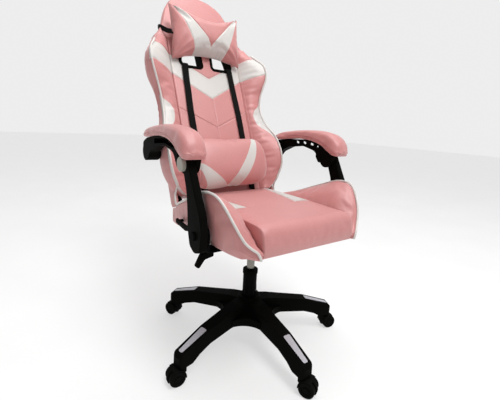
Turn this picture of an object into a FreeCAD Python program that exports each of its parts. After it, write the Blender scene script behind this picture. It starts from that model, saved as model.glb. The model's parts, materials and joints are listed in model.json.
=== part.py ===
"""Gaming chair: five-star base on twin-wheel casters, gas lift, tilt mechanism, bucket seat,
reclining winged backrest, and armrests carried by a parallelogram linkage.

Frame: millimetres, +Z up, the sitter faces -Y, the sitter's right hand is at -X.
The origin lies on the floor, on the axis of the gas column.
"""
import FreeCAD, Part
import math
import os
from FreeCAD import Placement, Rotation, Vector

os.makedirs("parts", exist_ok=True)

# ---- driving dimensions ---------------------------------------------------------------
RUN = 0.05                  # radial clearance of a running fit
GAP = 0.5                   # clearance between pieces that pass each other

LEGS = 5
LEG_FIRST = -92.0           # heading of the front leg in plan, degrees from +X
CASTER_RADIUS = 308.0       # column axis to caster swivel axis
CASTER_HEADINGS = (112.0, 178.0, 295.0, 345.0, 60.0)   # trail direction of each caster
CASTER_LEG_TURNS = (-2, -1, 0, 1, 2)                   # leg of each caster, in steps of 72 degrees
WHEEL_R = 25.0
WHEEL_W = 19.0
WHEEL_IN = 4.5              # inner face of a wheel from the caster's mid plane
HOOD_R = 28.5
TRAIL = 22.0
STEM_R = 5.5
LEG_END_Z = 58.0            # underside of a leg at its tip
WEB_R = 122.0               # reach of the webs between the legs

COLUMN_R = 25.0
COLUMN_TOP = 270.0
HUB_TOP = 168.0
ROD_R = 14.0
ROD_TOP = 396.0
PISTON_R = 5.0
PISTON_HEAD_R = 9.0

TILT_Y, TILT_Z = -85.0, 400.0      # tilt pin
SPRING_Y = -50.0                   # tilt spring and tension knob
PLATE_Z = 441.0                    # underside of the seat's mounting plate
PAN_Z = 445.0
PAN_T = 12.0
CUSHION_HALF = 168.0
CUSHION_TOP = 530.0
SEAT_FRONT = -285.0
SEAT_REAR = 148.0

RECLINE = 24.0                     # lean of the backrest from the vertical at rest
HINGE_Y, HINGE_Z = 170.0, 485.0    # recline hinge
BACK_FRONT = -15.0                 # front of the centre panel, ahead of the hinge
BACK_MID = 8.0                     # joint between front padding and rear cover
BACK_REAR = 42.0
SHELL_HALF = 218.0                 # widest the rear shell may be
BACK_FOOT = 25.0                   # lower edge of the backrest above the hinge
FRAME_Y, FRAME_R = 24.5, 9.0       # steel hoop inside the backrest
SEAM_X = 150.0                     # seam between the centre panel and the wings
RECESS = (518.0, 640.0)            # recess behind the harness holes, above the hinge
RECESS_FLOOR = 14.0

POST_FOOT = (-140.0, 483.0)        # lower pivot of an armrest post, in Y and Z
POST_HEAD = (-70.0, 663.0)         # upper pivot of a post
ARM_REAR = (POST_HEAD[0] + HINGE_Y - POST_FOOT[0], POST_HEAD[1] + HINGE_Z - POST_FOOT[1])
ARM_IN, ARM_OUT = 264.0, 294.0     # armrest beam, from the chair's mid plane
LUG_IN = 254.5                     # inner face of the beam's lug and hub
POST_IN, POST_OUT = 269.0, 291.0
PAD_IN, PAD_OUT = 246.0, 312.0
PIVOT_R = 27.0                     # round head of a post and its lug on the beam
POST_PIN_R = 7.0
REAR_PIN_R = 8.0
CAP_T = 11.0
EAR_OUT = 260.0                    # outer face of the seat bracket that carries a post

# backrest wings: height above the hinge, half-width, forward reach, depth of the side panel
WINGS = (
    (40.0, 214.0, 26.0, 95.0), (75.0, 232.0, 46.0, 95.0), (110.0, 243.0, 64.0, 95.0),
    (180.0, 245.0, 70.0, 95.0), (250.0, 243.0, 48.0, 95.0), (295.0, 229.0, 22.0, 95.0),
    (366.0, 221.0, 16.0, 95.0), (420.0, 231.0, 30.0, 80.0), (475.0, 248.0, 54.0, 72.0),
    (520.0, 254.0, 78.0, 70.0), (560.0, 241.0, 62.0, 66.0), (592.0, 222.0, 40.0, 60.0),
    (640.0, 198.0, 14.0, 50.0),
)
# half-width of the head of the backrest above the wings
HEAD = (
    (640.4, 199.0), (673.0, 172.0), (701.0, 159.0), (786.0, 126.0), (812.0, 106.0), (836.0, 66.0),
    (846.0, 20.0),
)

# seat wings: station along Y, outer foot, crest half-width, crest height, inner height
SEAT_WINGS = (
    (-286.0, 180.0, 184.0, 466.0, 452.0), (-266.0, 202.0, 211.0, 490.0, 464.0),
    (-248.0, 216.0, 230.0, 528.0, 482.0), (-228.0, 225.0, 241.0, 560.0, 498.0),
    (-205.0, 231.0, 250.0, 587.0, 511.0), (-157.0, 236.0, 257.0, 600.0, 519.0),
    (-65.0, 240.0, 255.0, 573.0, 522.0), (30.0, 238.0, 249.0, 534.0, 517.0),
    (100.0, 234.0, 240.0, 506.0, 500.0), (SEAT_REAR, 230.0, 232.0, 487.0, 485.0),
)


# ---- helpers --------------------------------------------------------------------------
def save(name, shape):
    shape.exportStep("parts/" + name + ".step")


def box(x0, x1, y0, y1, z0, z1):
    return Part.makeBox(x1 - x0, y1 - y0, z1 - z0, Vector(x0, y0, z0))


def rod(radius, start, end):
    """Cylinder between two points."""
    a = Vector(*start)
    b = Vector(*end)
    return Part.makeCylinder(radius, (b - a).Length, a, b - a)


def rounded(points):
    """Closed wire in the XY plane through (x, y, corner radius) points."""
    edges = []
    count = len(points)
    ends = []
    for i in range(count):
        here = Vector(points[i][0], points[i][1], 0)
        before = Vector(points[i - 1][0], points[i - 1][1], 0) - here
        after = Vector(points[(i + 1) % count][0], points[(i + 1) % count][1], 0) - here
        radius = points[i][2]
        half = before.getAngle(after) / 2.0
        reach = radius / math.tan(half) if radius else 0.0
        before.normalize()
        after.normalize()
        if radius:
            bisector = (before + after).normalize()
            middle = here + bisector * (radius / math.sin(half) - radius)
            ends.append((here + before * reach, middle, here + after * reach))
        else:
            ends.append((here, None, here))
    for i in range(count):
        enter, middle, leave = ends[i]
        if middle is not None:
            edges.append(Part.Arc(enter, middle, leave).toShape())
        following = ends[(i + 1) % count][0]
        if (following - leave).Length > 1e-6:
            edges.append(Part.LineSegment(leave, following).toShape())
    return Part.Wire(edges)


def slab_x(points, x0, x1):
    """Outline of (y, z, corner radius) points, extruded from x0 to x1."""
    face = Part.Face(rounded(points))
    upright = Rotation(Vector(0, 1, 0), Vector(0, 0, 1), Vector(1, 0, 0), "ZXY")
    face.Placement = Placement(Vector(x0, 0, 0), upright)
    return face.extrude(Vector(x1 - x0, 0, 0))


def slab_y(points, y0, y1):
    """Outline of (x, z, corner radius) points, extruded from y0 to y1."""
    face = Part.Face(rounded(points))
    face.Placement = Placement(Vector(0, y0, 0), Rotation(Vector(1, 0, 0), 90))
    return face.extrude(Vector(0, y1 - y0, 0))


def slab_z(points, z0, z1):
    """Outline of (x, y, corner radius) points, extruded from z0 to z1."""
    face = Part.Face(rounded(points))
    face.translate(Vector(0, 0, z0))
    return face.extrude(Vector(0, 0, z1 - z0))


def mirrored(shape):
    return shape.mirror(Vector(0, 0, 0), Vector(1, 0, 0))


def both(shape):
    """The piece at +X and its mirror image, as separate solids."""
    return Part.makeCompound([shape, mirrored(shape)])


def turned(shape, degrees):
    """Copy turned about the column axis."""
    copy = shape.copy()
    copy.rotate(Vector(0, 0, 0), Vector(0, 0, 1), degrees)
    return copy


def on_back(shape):
    """Place a shape drawn upright about the recline hinge at the backrest's lean."""
    placed = shape.copy()
    placed.rotate(Vector(0, 0, 0), Vector(1, 0, 0), -RECLINE)
    placed.translate(Vector(0, HINGE_Y, HINGE_Z))
    return placed


def tube_path(radius, points):
    """Round bar through a list of points, with ball corners."""
    shape = None
    for i in range(len(points) - 1):
        piece = rod(radius, points[i], points[i + 1])
        shape = piece if shape is None else shape.fuse(piece)
        if i:
            shape = shape.fuse(Part.makeSphere(radius, Vector(*points[i])))
    return shape.removeSplitter()


def edges_where(shape, test):
    return [edge for edge in shape.Edges if test(edge)]


def smooth(shape, radius, test=lambda edge: True):
    """Fillet the edges that pass the test."""
    return shape.makeFillet(radius, edges_where(shape, test))


def lengthwise_x(edge):
    box_size = edge.BoundBox
    return box_size.XLength > 5 and box_size.YLength < 0.01 and box_size.ZLength < 0.01


def at_x(value):
    return lambda edge: abs(edge.BoundBox.XMin - value) < 0.01 and abs(edge.BoundBox.XMax - value) < 0.01


# ---- base -----------------------------------------------------------------------------
def leg():
    """One leg along +X: a side profile crossed with a tapered, drafted plan."""
    profile = [
        (20, HUB_TOP - 8, 0), (70, 158, 30), (150, 146, 60), (219, 136, 6), (322, 103.5, 8),
        (331, 92, 8), (328, LEG_END_Z, 3), (286, LEG_END_Z, 8), (258, 74, 20), (215, 88, 30), (120, 97, 60),
        (20, 92, 0),
    ]
    side = slab_y(profile, -60, 60)
    low = rounded([(10, -36, 0), (120, -29, 0), (332, -21, 12), (332, 21, 12), (120, 29, 0), (10, 36, 0)])
    high = rounded([(10, -27, 0), (120, -21, 0), (332, -13, 8), (332, 13, 8), (120, 21, 0), (10, 27, 0)])
    low.translate(Vector(0, 0, 50))
    high.translate(Vector(0, 0, 170))
    plan = Part.makeLoft([low, high], True, True)
    return side.common(plan)


def insert_outline(grow=0.0):
    """Tapered plate on the sloping end of a leg, drawn in the slope's own plane."""
    inner, outer, length = 12.5 + grow, 8.0 + grow, 101.0 + grow
    return [(-grow, -inner, 5), (length, -outer, 5), (length, outer, 5), (-grow, inner, 5)]


def on_slope(shape):
    """Move a shape from the slope's own plane onto the leg along +X."""
    slope = math.degrees(math.atan2(136.0 - 103.5, 322.0 - 219.0))
    placed = shape.copy()
    placed.rotate(Vector(0, 0, 0), Vector(0, 1, 0), slope)
    placed.translate(Vector(221.5, 0, 135.2))
    return placed


def star_base():
    one = leg().cut(on_slope(slab_z(insert_outline(0.25), -1.4, 6.0)))
    one = one.cut(rod(STEM_R, (CASTER_RADIUS, 0, LEG_END_Z - 5), (CASTER_RADIUS, 0, 90)))
    skirt = Part.Face(Part.Wire([
        Part.LineSegment(Vector(0, 0, 90), Vector(WEB_R, 0, 99)).toShape(),
        Part.LineSegment(Vector(WEB_R, 0, 99), Vector(WEB_R - 2, 0, 122)).toShape(),
        Part.Arc(Vector(WEB_R - 2, 0, 122), Vector(62, 0, 143), Vector(36, 0, HUB_TOP)).toShape(),
        Part.LineSegment(Vector(36, 0, HUB_TOP), Vector(0, 0, HUB_TOP)).toShape(),
        Part.LineSegment(Vector(0, 0, HUB_TOP), Vector(0, 0, 90)).toShape(),
    ])).revolve(Vector(0, 0, 0), Vector(0, 0, 1), 360)
    scallop = rod(72, (WEB_R + 44, 0, 80), (WEB_R + 44, 0, 180))
    for k in range(LEGS):
        skirt = skirt.cut(turned(scallop, LEG_FIRST + 36 + 72 * k))
    hub = skirt
    for k in range(LEGS):
        hub = hub.fuse(turned(one, LEG_FIRST + 72 * k))
    socket = Part.makeCone(COLUMN_R - 2, COLUMN_R, HUB_TOP - 84, Vector(0, 0, 84))
    return hub.cut(socket).removeSplitter()


def leg_inserts():
    plate = on_slope(slab_z(insert_outline(), -1.4, 0.5))
    return Part.makeCompound([turned(plate, LEG_FIRST + 72 * k) for k in range(LEGS)])


def gas_cylinder():
    foot = Part.makeCone(COLUMN_R - 2, COLUMN_R, HUB_TOP - 84, Vector(0, 0, 84))
    body = foot.fuse(rod(COLUMN_R, (0, 0, HUB_TOP), (0, 0, COLUMN_TOP - 10))).removeSplitter()
    body = body.cut(rod(ROD_R + 1, (0, 0, 94), (0, 0, COLUMN_TOP)))
    body = body.cut(rod(PISTON_HEAD_R + RUN, (0, 0, 80), (0, 0, 90 + RUN)))
    return body.cut(rod(PISTON_R + RUN, (0, 0, 80), (0, 0, 95)))


def cylinder_collar():
    ring = rod(COLUMN_R + 2, (0, 0, COLUMN_TOP - 16), (0, 0, COLUMN_TOP))
    ring = smooth(ring, 2, lambda edge: edge.BoundBox.ZMin > COLUMN_TOP - 1)
    ring = ring.cut(rod(COLUMN_R, (0, 0, COLUMN_TOP - 20), (0, 0, COLUMN_TOP - 10)))
    return ring.cut(rod(ROD_R + RUN, (0, 0, COLUMN_TOP - 20), (0, 0, COLUMN_TOP + 1)))


def caster_stems():
    stem = rod(STEM_R, (CASTER_RADIUS, 0, 44), (CASTER_RADIUS, 0, 90))
    collar = rod(9, (CASTER_RADIUS, 0, LEG_END_Z - 1.5), (CASTER_RADIUS, 0, LEG_END_Z))
    return Part.makeCompound([turned(stem.fuse(collar), LEG_FIRST + 72 * k) for k in range(LEGS)])


# ---- casters --------------------------------------------------------------------------
def caster_hood():
    """Hood drawn with its swivel axis on Z and its trail along +X."""
    centre = (TRAIL, WHEEL_R)
    web = rod(HOOD_R, (centre[0], -WHEEL_IN + GAP, centre[1]), (centre[0], WHEEL_IN - GAP, centre[1]))
    web = web.cut(box(-40, 80, -10, 10, -20, 9))
    width = WHEEL_IN + WHEEL_W - 1
    shell = rod(HOOD_R, (centre[0], -width, centre[1]), (centre[0], width, centre[1]))
    shell = smooth(shell, 2.5)
    shell = shell.cut(rod(WHEEL_R + 1, (centre[0], -40, centre[1]), (centre[0], 40, centre[1])))
    shell = shell.cut(box(-40, 80, -40, 40, -20, centre[1] - 3))
    shell = shell.cut(box(centre[0] + 12, 80, -40, 40, -20, 60))
    boss = rod(12.5, (0, 0, 33), (0, 0, LEG_END_Z - 2))
    boss = boss.cut(rod(WHEEL_R + 1, (centre[0], -40, centre[1]), (centre[0], -WHEEL_IN + GAP, centre[1])))
    boss = boss.cut(rod(WHEEL_R + 1, (centre[0], WHEEL_IN - GAP, centre[1]), (centre[0], 40, centre[1])))
    hood = web.fuse([shell, boss])
    hood = hood.cut(rod(STEM_R + RUN, (0, 0, 42), (0, 0, 80)))
    return hood.cut(rod(3, (centre[0], -20, centre[1]), (centre[0], 20, centre[1]))).removeSplitter()


def caster_axle():
    reach = WHEEL_IN + 12
    return rod(3, (TRAIL, -reach, WHEEL_R), (TRAIL, reach, WHEEL_R))


def caster_wheel():
    """One of the two wheels: a dished disc with rounded shoulders and a blind bore."""
    wheel = rod(WHEEL_R, (TRAIL, WHEEL_IN, WHEEL_R), (TRAIL, WHEEL_IN + WHEEL_W, WHEEL_R))
    wheel = smooth(wheel, 3.5)
    dish = Part.makeCone(17, 15, 3, Vector(TRAIL, WHEEL_IN + WHEEL_W + 0.01, WHEEL_R), Vector(0, -1, 0))
    cap = rod(9, (TRAIL, WHEEL_IN + 4, WHEEL_R), (TRAIL, WHEEL_IN + WHEEL_W - 1, WHEEL_R))
    wheel = wheel.cut(dish).fuse(cap)
    return wheel.cut(rod(3 + RUN, (TRAIL, 0, WHEEL_R), (TRAIL, WHEEL_IN + 13, WHEEL_R))).removeSplitter()


def caster_wheels():
    wheel = caster_wheel()
    other = wheel.mirror(Vector(0, 0, 0), Vector(0, 1, 0))
    return Part.makeCompound([wheel, other])


def at_caster(shape, index):
    """Turn a caster piece to its heading and move it under its leg."""
    heading = CASTER_HEADINGS[index]
    placed = turned(shape, heading)
    angle = math.radians(LEG_FIRST + 72 * CASTER_LEG_TURNS[index])
    placed.translate(Vector(CASTER_RADIUS * math.cos(angle), CASTER_RADIUS * math.sin(angle), 0))
    return placed


# ---- gas lift and tilt mechanism ------------------------------------------------------
def gas_piston():
    head = rod(PISTON_HEAD_R, (0, 0, 85), (0, 0, 90))
    return rod(PISTON_R, (0, 0, 90), (0, 0, 290)).fuse(head).removeSplitter()


def gas_rod():
    bar = rod(ROD_R, (0, 0, 176), (0, 0, 352))
    taper = Part.makeCone(ROD_R, ROD_R - 0.8, ROD_TOP - 352, Vector(0, 0, 352))
    return bar.fuse(taper).cut(rod(PISTON_R + RUN, (0, 0, 170), (0, 0, 384))).removeSplitter()


def tilt_housing():
    tray = box(-73, 73, -104, 80, 376, 404)
    nose = box(-73, 73, -104, -62, 376, 414)
    shell = tray.fuse(nose).cut(box(-70, 70, -101, 77, 379, 430))
    boss = rod(24, (0, 0, 352), (0, 0, 400))
    taper = Part.makeCone(ROD_R, ROD_R - 0.8, ROD_TOP - 352, Vector(0, 0, 352))
    shell = shell.fuse(boss).cut(taper).cut(rod(ROD_R - 0.8, (0, 0, 390), (0, 0, 410)))
    shell = shell.cut(rod(6, (-90, TILT_Y, TILT_Z), (90, TILT_Y, TILT_Z)))
    shell = shell.cut(box(-80, -60, -22, 2, 383, 402.5))
    for y in (-26, 2):
        shell = shell.fuse(box(-68, -52, y, y + 4, 379, 400))
    shell = shell.fuse(rod(3, (-60, -24, 392), (-60, 4, 392)))
    return shell.cut(rod(5 + RUN, (0, SPRING_Y, 370), (0, SPRING_Y, 385))).removeSplitter()


def tilt_pin():
    return rod(6, (-84, TILT_Y, TILT_Z), (84, TILT_Y, TILT_Z))


def tilt_spring():
    tube = rod(15, (0, SPRING_Y, 379.2), (0, SPRING_Y, PLATE_Z - 0.2))
    return tube.cut(rod(11, (0, SPRING_Y, 370), (0, SPRING_Y, 450)))


def tension_knob():
    knob = rod(20, (0, SPRING_Y, 338), (0, SPRING_Y, 366))
    for k in range(8):
        angle = math.radians(45 * k)
        groove = (21.5 * math.cos(angle), SPRING_Y + 21.5 * math.sin(angle))
        knob = knob.cut(rod(4, (groove[0], groove[1], 330), (groove[0], groove[1], 370)))
    return knob.fuse(rod(5, (0, SPRING_Y, 360), (0, SPRING_Y, 392))).removeSplitter()


LEVER_PATH = ((-60, -10, 392), (-130, -16, 393), (-222, -98, 412))


def lift_lever():
    bar = tube_path(4, LEVER_PATH)
    eye = rod(7, (-60, -21.5, 392), (-60, 1.5, 392))
    return bar.fuse(eye).cut(rod(3 + RUN, (-60, -30, 392), (-60, 10, 392))).removeSplitter()


def lift_lever_grip():
    """Flat paddle on the end of the lever, drooping outwards."""
    outline = [(-214, 422, 5), (-214, 401, 5), (-242, 396, 10), (-259, 372, 5), (-270, 378, 5), (-252, 414, 14)]
    paddle = slab_y(outline, -113, -97)
    paddle = smooth(paddle, 2.5, lambda e: abs(e.BoundBox.YLength) < 0.01)
    return paddle.cut(tube_path(4, LEVER_PATH)).removeSplitter()


# ---- seat -----------------------------------------------------------------------------
SEAT_BOLTS = [(x, y) for x in (-90, 90) for y in (-60, 55)]


def tilt_plate():
    plate = box(-102, 102, -104, 80, PLATE_Z, PAN_Z)
    cheek = [(-104, PLATE_Z, 0), (-99, 392, 6), (-71, 392, 6), (-56, PLATE_Z, 0)]
    for x in (-81, 78):
        plate = plate.fuse(slab_x(cheek, x, x + 3))
    plate = plate.cut(rod(6 + RUN, (-90, TILT_Y, TILT_Z), (90, TILT_Y, TILT_Z)))
    for x, y in SEAT_BOLTS:
        plate = plate.cut(rod(4.2, (x, y, 430), (x, y, 460)))
    return plate.removeSplitter()


def seat_pan():
    pan = box(-CUSHION_HALF, CUSHION_HALF, SEAT_FRONT + 12, SEAT_REAR, PAN_Z, PAN_Z + PAN_T)
    for x, y in SEAT_BOLTS:
        pan = pan.cut(rod(4.2, (x, y, 430), (x, y, 470)))
    return pan


def seat_bolts():
    bolts = []
    for x, y in SEAT_BOLTS:
        head = rod(6.5, (x, y, PLATE_Z - 5), (x, y, PLATE_Z))
        bolts.append(head.fuse(rod(4, (x, y, PLATE_Z), (x, y, 455))))
    return Part.makeCompound(bolts)


def seat_cushion():
    block = box(-CUSHION_HALF, CUSHION_HALF, SEAT_FRONT, SEAT_REAR, PAN_Z + PAN_T, CUSHION_TOP)
    return smooth(block, 28, lambda e: lengthwise_x(e) and e.BoundBox.ZMin > CUSHION_TOP - 1)


def seat_wing():
    """Raised side of the bucket seat at +X, lofted from front to rear."""
    sections = []
    for y, foot, crest_x, crest_z, inner_z in SEAT_WINGS:
        middle_x = (foot + crest_x) / 2 + 5
        middle_z = (446 + crest_z) / 2
        corners = [(170, 446), (foot, 446), (middle_x, middle_z), (crest_x, crest_z)]
        corners += [(crest_x - 12, crest_z), (170, inner_z)]
        sections.append(Part.makePolygon([Vector(x, y, z) for x, z in corners + corners[:1]]))
    wing = Part.makeLoft(sections, True, True)
    tail = box(206, 230, SEAT_REAR - 1, 186, 446, 478)
    wing = wing.fuse(tail).removeSplitter()
    return wing.cut(rod(5 + GAP, (212, 40, 470), (270, 40, 470)))


def seat_piping():
    points = [(crest_x + 0.5, y - 1, crest_z + 1.5) for y, foot, crest_x, crest_z, inner_z in SEAT_WINGS]
    return both(tube_path(3.5, points).cut(seat_wing()))


def side_bracket():
    """Steel side plate at +X: carries the recline hinge and the foot of an armrest post."""
    rail = box(112, 204, -165, 190, 437, PLATE_Z)
    tongue = box(190, EAR_OUT, -165, -115, 437, PLATE_Z)
    ear = slab_x([(-165, 437, 0), (-165, 507, 22), (-115, 507, 22), (-115, 437, 0)], EAR_OUT - 4, EAR_OUT)
    hinge_ear = slab_x([(150, 437, 0), (150, 506, 18), (190, 506, 18), (190, 437, 0)], 200, 204)
    plate = rail.fuse([tongue, ear, hinge_ear])
    plate = plate.cut(rod(POST_PIN_R, (EAR_OUT - 10, *POST_FOOT), (EAR_OUT + 10, *POST_FOOT)))
    return plate.cut(rod(6, (190, HINGE_Y, HINGE_Z), (210, HINGE_Y, HINGE_Z))).removeSplitter()


def hinge_pin():
    return rod(6, (188, HINGE_Y, HINGE_Z), (205, HINGE_Y, HINGE_Z))


def post_bolt():
    shank = rod(POST_PIN_R, (EAR_OUT - 6, *POST_FOOT), (POST_OUT + 1, *POST_FOOT))
    washer = rod(12, (EAR_OUT, *POST_FOOT), (POST_IN - GAP, *POST_FOOT))
    head = smooth(rod(12, (POST_OUT + GAP, *POST_FOOT), (POST_OUT + 6, *POST_FOOT)), 1.5, at_x(POST_OUT + 6))
    return shank.fuse([washer, head]).removeSplitter()


def recline_lever():
    shaft = rod(5, (-212, 40, 470), (-258, 40, 470))
    outline = [(52, 462, 7), (52, 478, 7), (-20, 474, 20), (-66, 486, 6), (-70, 470, 6), (-20, 456, 20)]
    blade = slab_x(outline, -263, -256)
    return shaft.fuse(smooth(blade, 2, lambda e: abs(e.BoundBox.XLength) < 0.01)).removeSplitter()


# ---- backrest, drawn upright about the recline hinge -----------------------------------
def hinge_arm():
    outline = [(-18, -18, 17), (18, -18, 17), (34, 24, 12), (34, 205, 9)]
    outline += [(13, 205, 9), (13, 44, 12), (-18, 16, 14)]
    plate = slab_x(outline, 194, 198)
    return plate.cut(rod(6 + RUN, (190, 0, 0), (205, 0, 0)))


def back_frame():
    half = [(184, 60), (184, 545), (128, 655), (88, 762)]
    ring = [(x, FRAME_Y, z) for x, z in half] + [(-x, FRAME_Y, z) for x, z in reversed(half)]
    hoop = tube_path(FRAME_R, ring + ring[:1])
    hoop = hoop.fuse(Part.makeSphere(FRAME_R, Vector(*ring[0])))
    for z in (250, 490):
        hoop = hoop.fuse(rod(7, (-184, FRAME_Y, z), (184, FRAME_Y, z)))
    return hoop.removeSplitter()


HOLE = ((26, 536, 8), (110, 536, 16), (88, 626, 10), (30, 626, 8))


def hole(grow, y0, y1):
    """Harness hole at +X, grown outwards, from y0 to y1."""
    wire = rounded(HOLE)
    if grow:
        wire = wire.makeOffset2D(grow)
    face = Part.Face(wire)
    face.Placement = Placement(Vector(0, y0, 0), Rotation(Vector(1, 0, 0), 90))
    return face.extrude(Vector(0, y1 - y0, 0))


def hole_bezel():
    """Moulded surround: a liner through the backrest with a rim on each face."""
    liner = hole(3, BACK_FRONT - 4, RECESS_FLOOR + 3)
    front = hole(11, BACK_FRONT - 5, BACK_FRONT)
    rear = hole(9, RECESS_FLOOR, RECESS_FLOOR + 3)
    front = smooth(front, 2, lambda e: e.BoundBox.YMax < BACK_FRONT - 4)
    return liner.fuse([front, rear]).cut(hole(0, BACK_FRONT - 20, BACK_REAR + 20)).removeSplitter()


def outline_of_back(inset, foot, y):
    """Closed outline of the whole backrest in the plane y, inset from the wings' edge."""
    half = [(WINGS[0][1] - inset, foot)]
    half += [(min(w, SHELL_HALF) - inset, z) for z, w, reach, side in WINGS[1:-1]]
    half += [(w - inset, z - inset * 0.3) for z, w in HEAD[1:]]
    outline = half + [(-x, z) for x, z in reversed(half)]
    return Part.makePolygon([Vector(x, y, z) for x, z in outline + outline[:1]])


def flared(front_inset, rear_inset, foot, y0, y1):
    """The backrest's whole outline, narrowing from y0 to y1."""
    ends = [outline_of_back(front_inset, foot, y0), outline_of_back(rear_inset, foot, y1)]
    return Part.makeLoft(ends, True, True)


def cut_holes(shape):
    opening = hole(3, -200, 200)
    return shape.cut(opening).cut(mirrored(opening))


def back_cushion():
    """Front padding between the wings, carried up over the head."""
    half = [(SEAM_X, BACK_FOOT), (SEAM_X, HEAD[0][0])] + [(w, z) for z, w in HEAD]
    outline = half + [(-x, z) for x, z in reversed(half)]
    panel = slab_y([(x, z, 0) for x, z in outline], BACK_FRONT, BACK_MID)
    return cut_holes(panel)


def back_bolster():
    """Side wing of the backrest at +X, lofted from the hip to the shoulder."""
    sections = []
    for z, half, reach, side in WINGS:
        tip = BACK_FRONT - reach
        heel = min(BACK_MID - 1, tip + side)
        corners = [(SEAM_X + 0.3, BACK_MID), (SEAM_X + 0.3, BACK_FRONT), (half - 16, tip)]
        corners += [(half - 3, tip + 6), (half, heel), (min(half, SHELL_HALF) - 3, BACK_MID)]
        sections.append(Part.makePolygon([Vector(x, y, z) for x, y in corners + corners[:1]]))
    return Part.makeLoft(sections, True, True)


def recess(grow):
    """Outline of the rear shell's recess behind the harness holes."""
    low, high = RECESS[0] - grow, RECESS[1] + grow
    return [(-124 - grow, low, 10), (124 + grow, low, 10), (112 + grow, high, 10), (-112 - grow, high, 10)]


def back_cover():
    """Rear shell: a tray that closes the backrest behind the steel frame."""
    tray = flared(5, 9, BACK_FOOT, BACK_MID, BACK_REAR)
    inside = flared(13, 14, BACK_FOOT - 10, BACK_MID, BACK_REAR - 7)
    tray = tray.cut(inside.cut(box(-300, 300, -100, 100, 806, 900)))
    tray = tray.fuse(slab_y(recess(4), BACK_MID, BACK_REAR)).cut(slab_y(recess(0), RECESS_FLOOR, BACK_REAR + 5))
    return cut_holes(tray).removeSplitter()


def back_piping():
    points = [(half - 8, BACK_FRONT - reach - 1.5, z) for z, half, reach, side in WINGS[:-1]]
    return both(tube_path(3.5, points).cut(back_bolster()))


def lumbar_strap():
    """Webbing over the padding, through the harness hole and down the rear of the cover."""
    front = box(88, 113, BACK_FRONT - 8, BACK_FRONT - 6, 40, 531)
    return front


def arm_rear_bracket():
    """Plate on the side of the backrest with the rear pivot of an armrest."""
    y, z = rear_pivot_on_back()
    outline = [(y - 22, z - 26, 14), (BACK_MID, z - 26, 8), (BACK_MID, z + 26, 8), (y - 22, z + 26, 14)]
    plate = slab_x(outline, 249.3, LUG_IN - GAP)
    return plate.fuse(rod(REAR_PIN_R, (252, y, z), (ARM_OUT - 4, y, z))).removeSplitter()


def rear_pivot_on_back():
    """Rear armrest pivot in the backrest's upright frame."""
    lean = math.radians(RECLINE)
    dy = ARM_REAR[0] - HINGE_Y
    dz = ARM_REAR[1] - HINGE_Z
    return dy * math.cos(lean) - dz * math.sin(lean), dy * math.sin(lean) + dz * math.cos(lean)


# ---- pillows --------------------------------------------------------------------------
def head_pillow():
    """Bow-tie head cushion: pinched corners and a dipped top edge."""
    half = [(60, 566, 30), (141, 534, 10), (136, 640, 40), (145, 748, 10), (60, 714, 30)]
    outline = [(0, 574, 0)] + half + [(0, 706, 0)] + [(-x, z, r) for x, z, r in reversed(half)]
    return slab_y(outline, BACK_FRONT - 66, BACK_FRONT - 7)


def head_strap():
    band = box(-176, 176, BACK_FRONT - 6, BACK_REAR + 8, 676, 701)
    band = smooth(band, 10, lambda e: e.BoundBox.ZLength > 20)
    inner = box(-174.2, 174.2, BACK_FRONT - 4.2, BACK_REAR + 6.2, 670, 710)
    return band.cut(smooth(inner, 8, lambda e: e.BoundBox.ZLength > 20))


def lumbar_pillow():
    block = box(-160, 160, BACK_FRONT - 107, BACK_FRONT - 9, 30, 218)
    return smooth(block, 44, lengthwise_x)


# ---- armrests -------------------------------------------------------------------------
PAD_SOLE = ((-112, 686), (-80, 702), (-40, 718), (50, 727), (150, 722), (220, 714))


def arm_post():
    """Blade from the seat bracket up to the round pivot under the pad."""
    y, z = POST_HEAD
    blade = slab_x([
        (-56, 672, 0), (-88, 596, 60), (-96, 540, 60), (-98, 490, 60), (-112, 446, 22), (-140, 434, 20),
        (-174, 446, 22), (-184, 500, 60), (-170, 548, 60), (-138, 600, 60), (-96, 676, 0),
    ], POST_IN, POST_OUT)
    head = rod(PIVOT_R, (POST_IN, y, z), (POST_OUT, y, z))
    post = blade.fuse(head).removeSplitter()
    post = smooth(post, 4, lambda e: abs(e.BoundBox.XLength) < 0.01)
    post = post.cut(rod(POST_PIN_R + RUN, (POST_IN - 5, *POST_FOOT), (POST_OUT + 5, *POST_FOOT)))
    return post.cut(rod(POST_PIN_R, (POST_IN - 5, y, z), (POST_OUT + 5, y, z)))


def pivot_cap():
    """Pivot pin of a post with its broad round cap on the outside."""
    y, z = POST_HEAD
    cap = rod(20, (POST_OUT, y, z), (POST_OUT + CAP_T, y, z))
    cap = smooth(cap, 3, at_x(POST_OUT + CAP_T))
    return cap.fuse(rod(POST_PIN_R, (LUG_IN + 4.5, y, z), (POST_OUT + 2, y, z))).removeSplitter()


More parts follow.
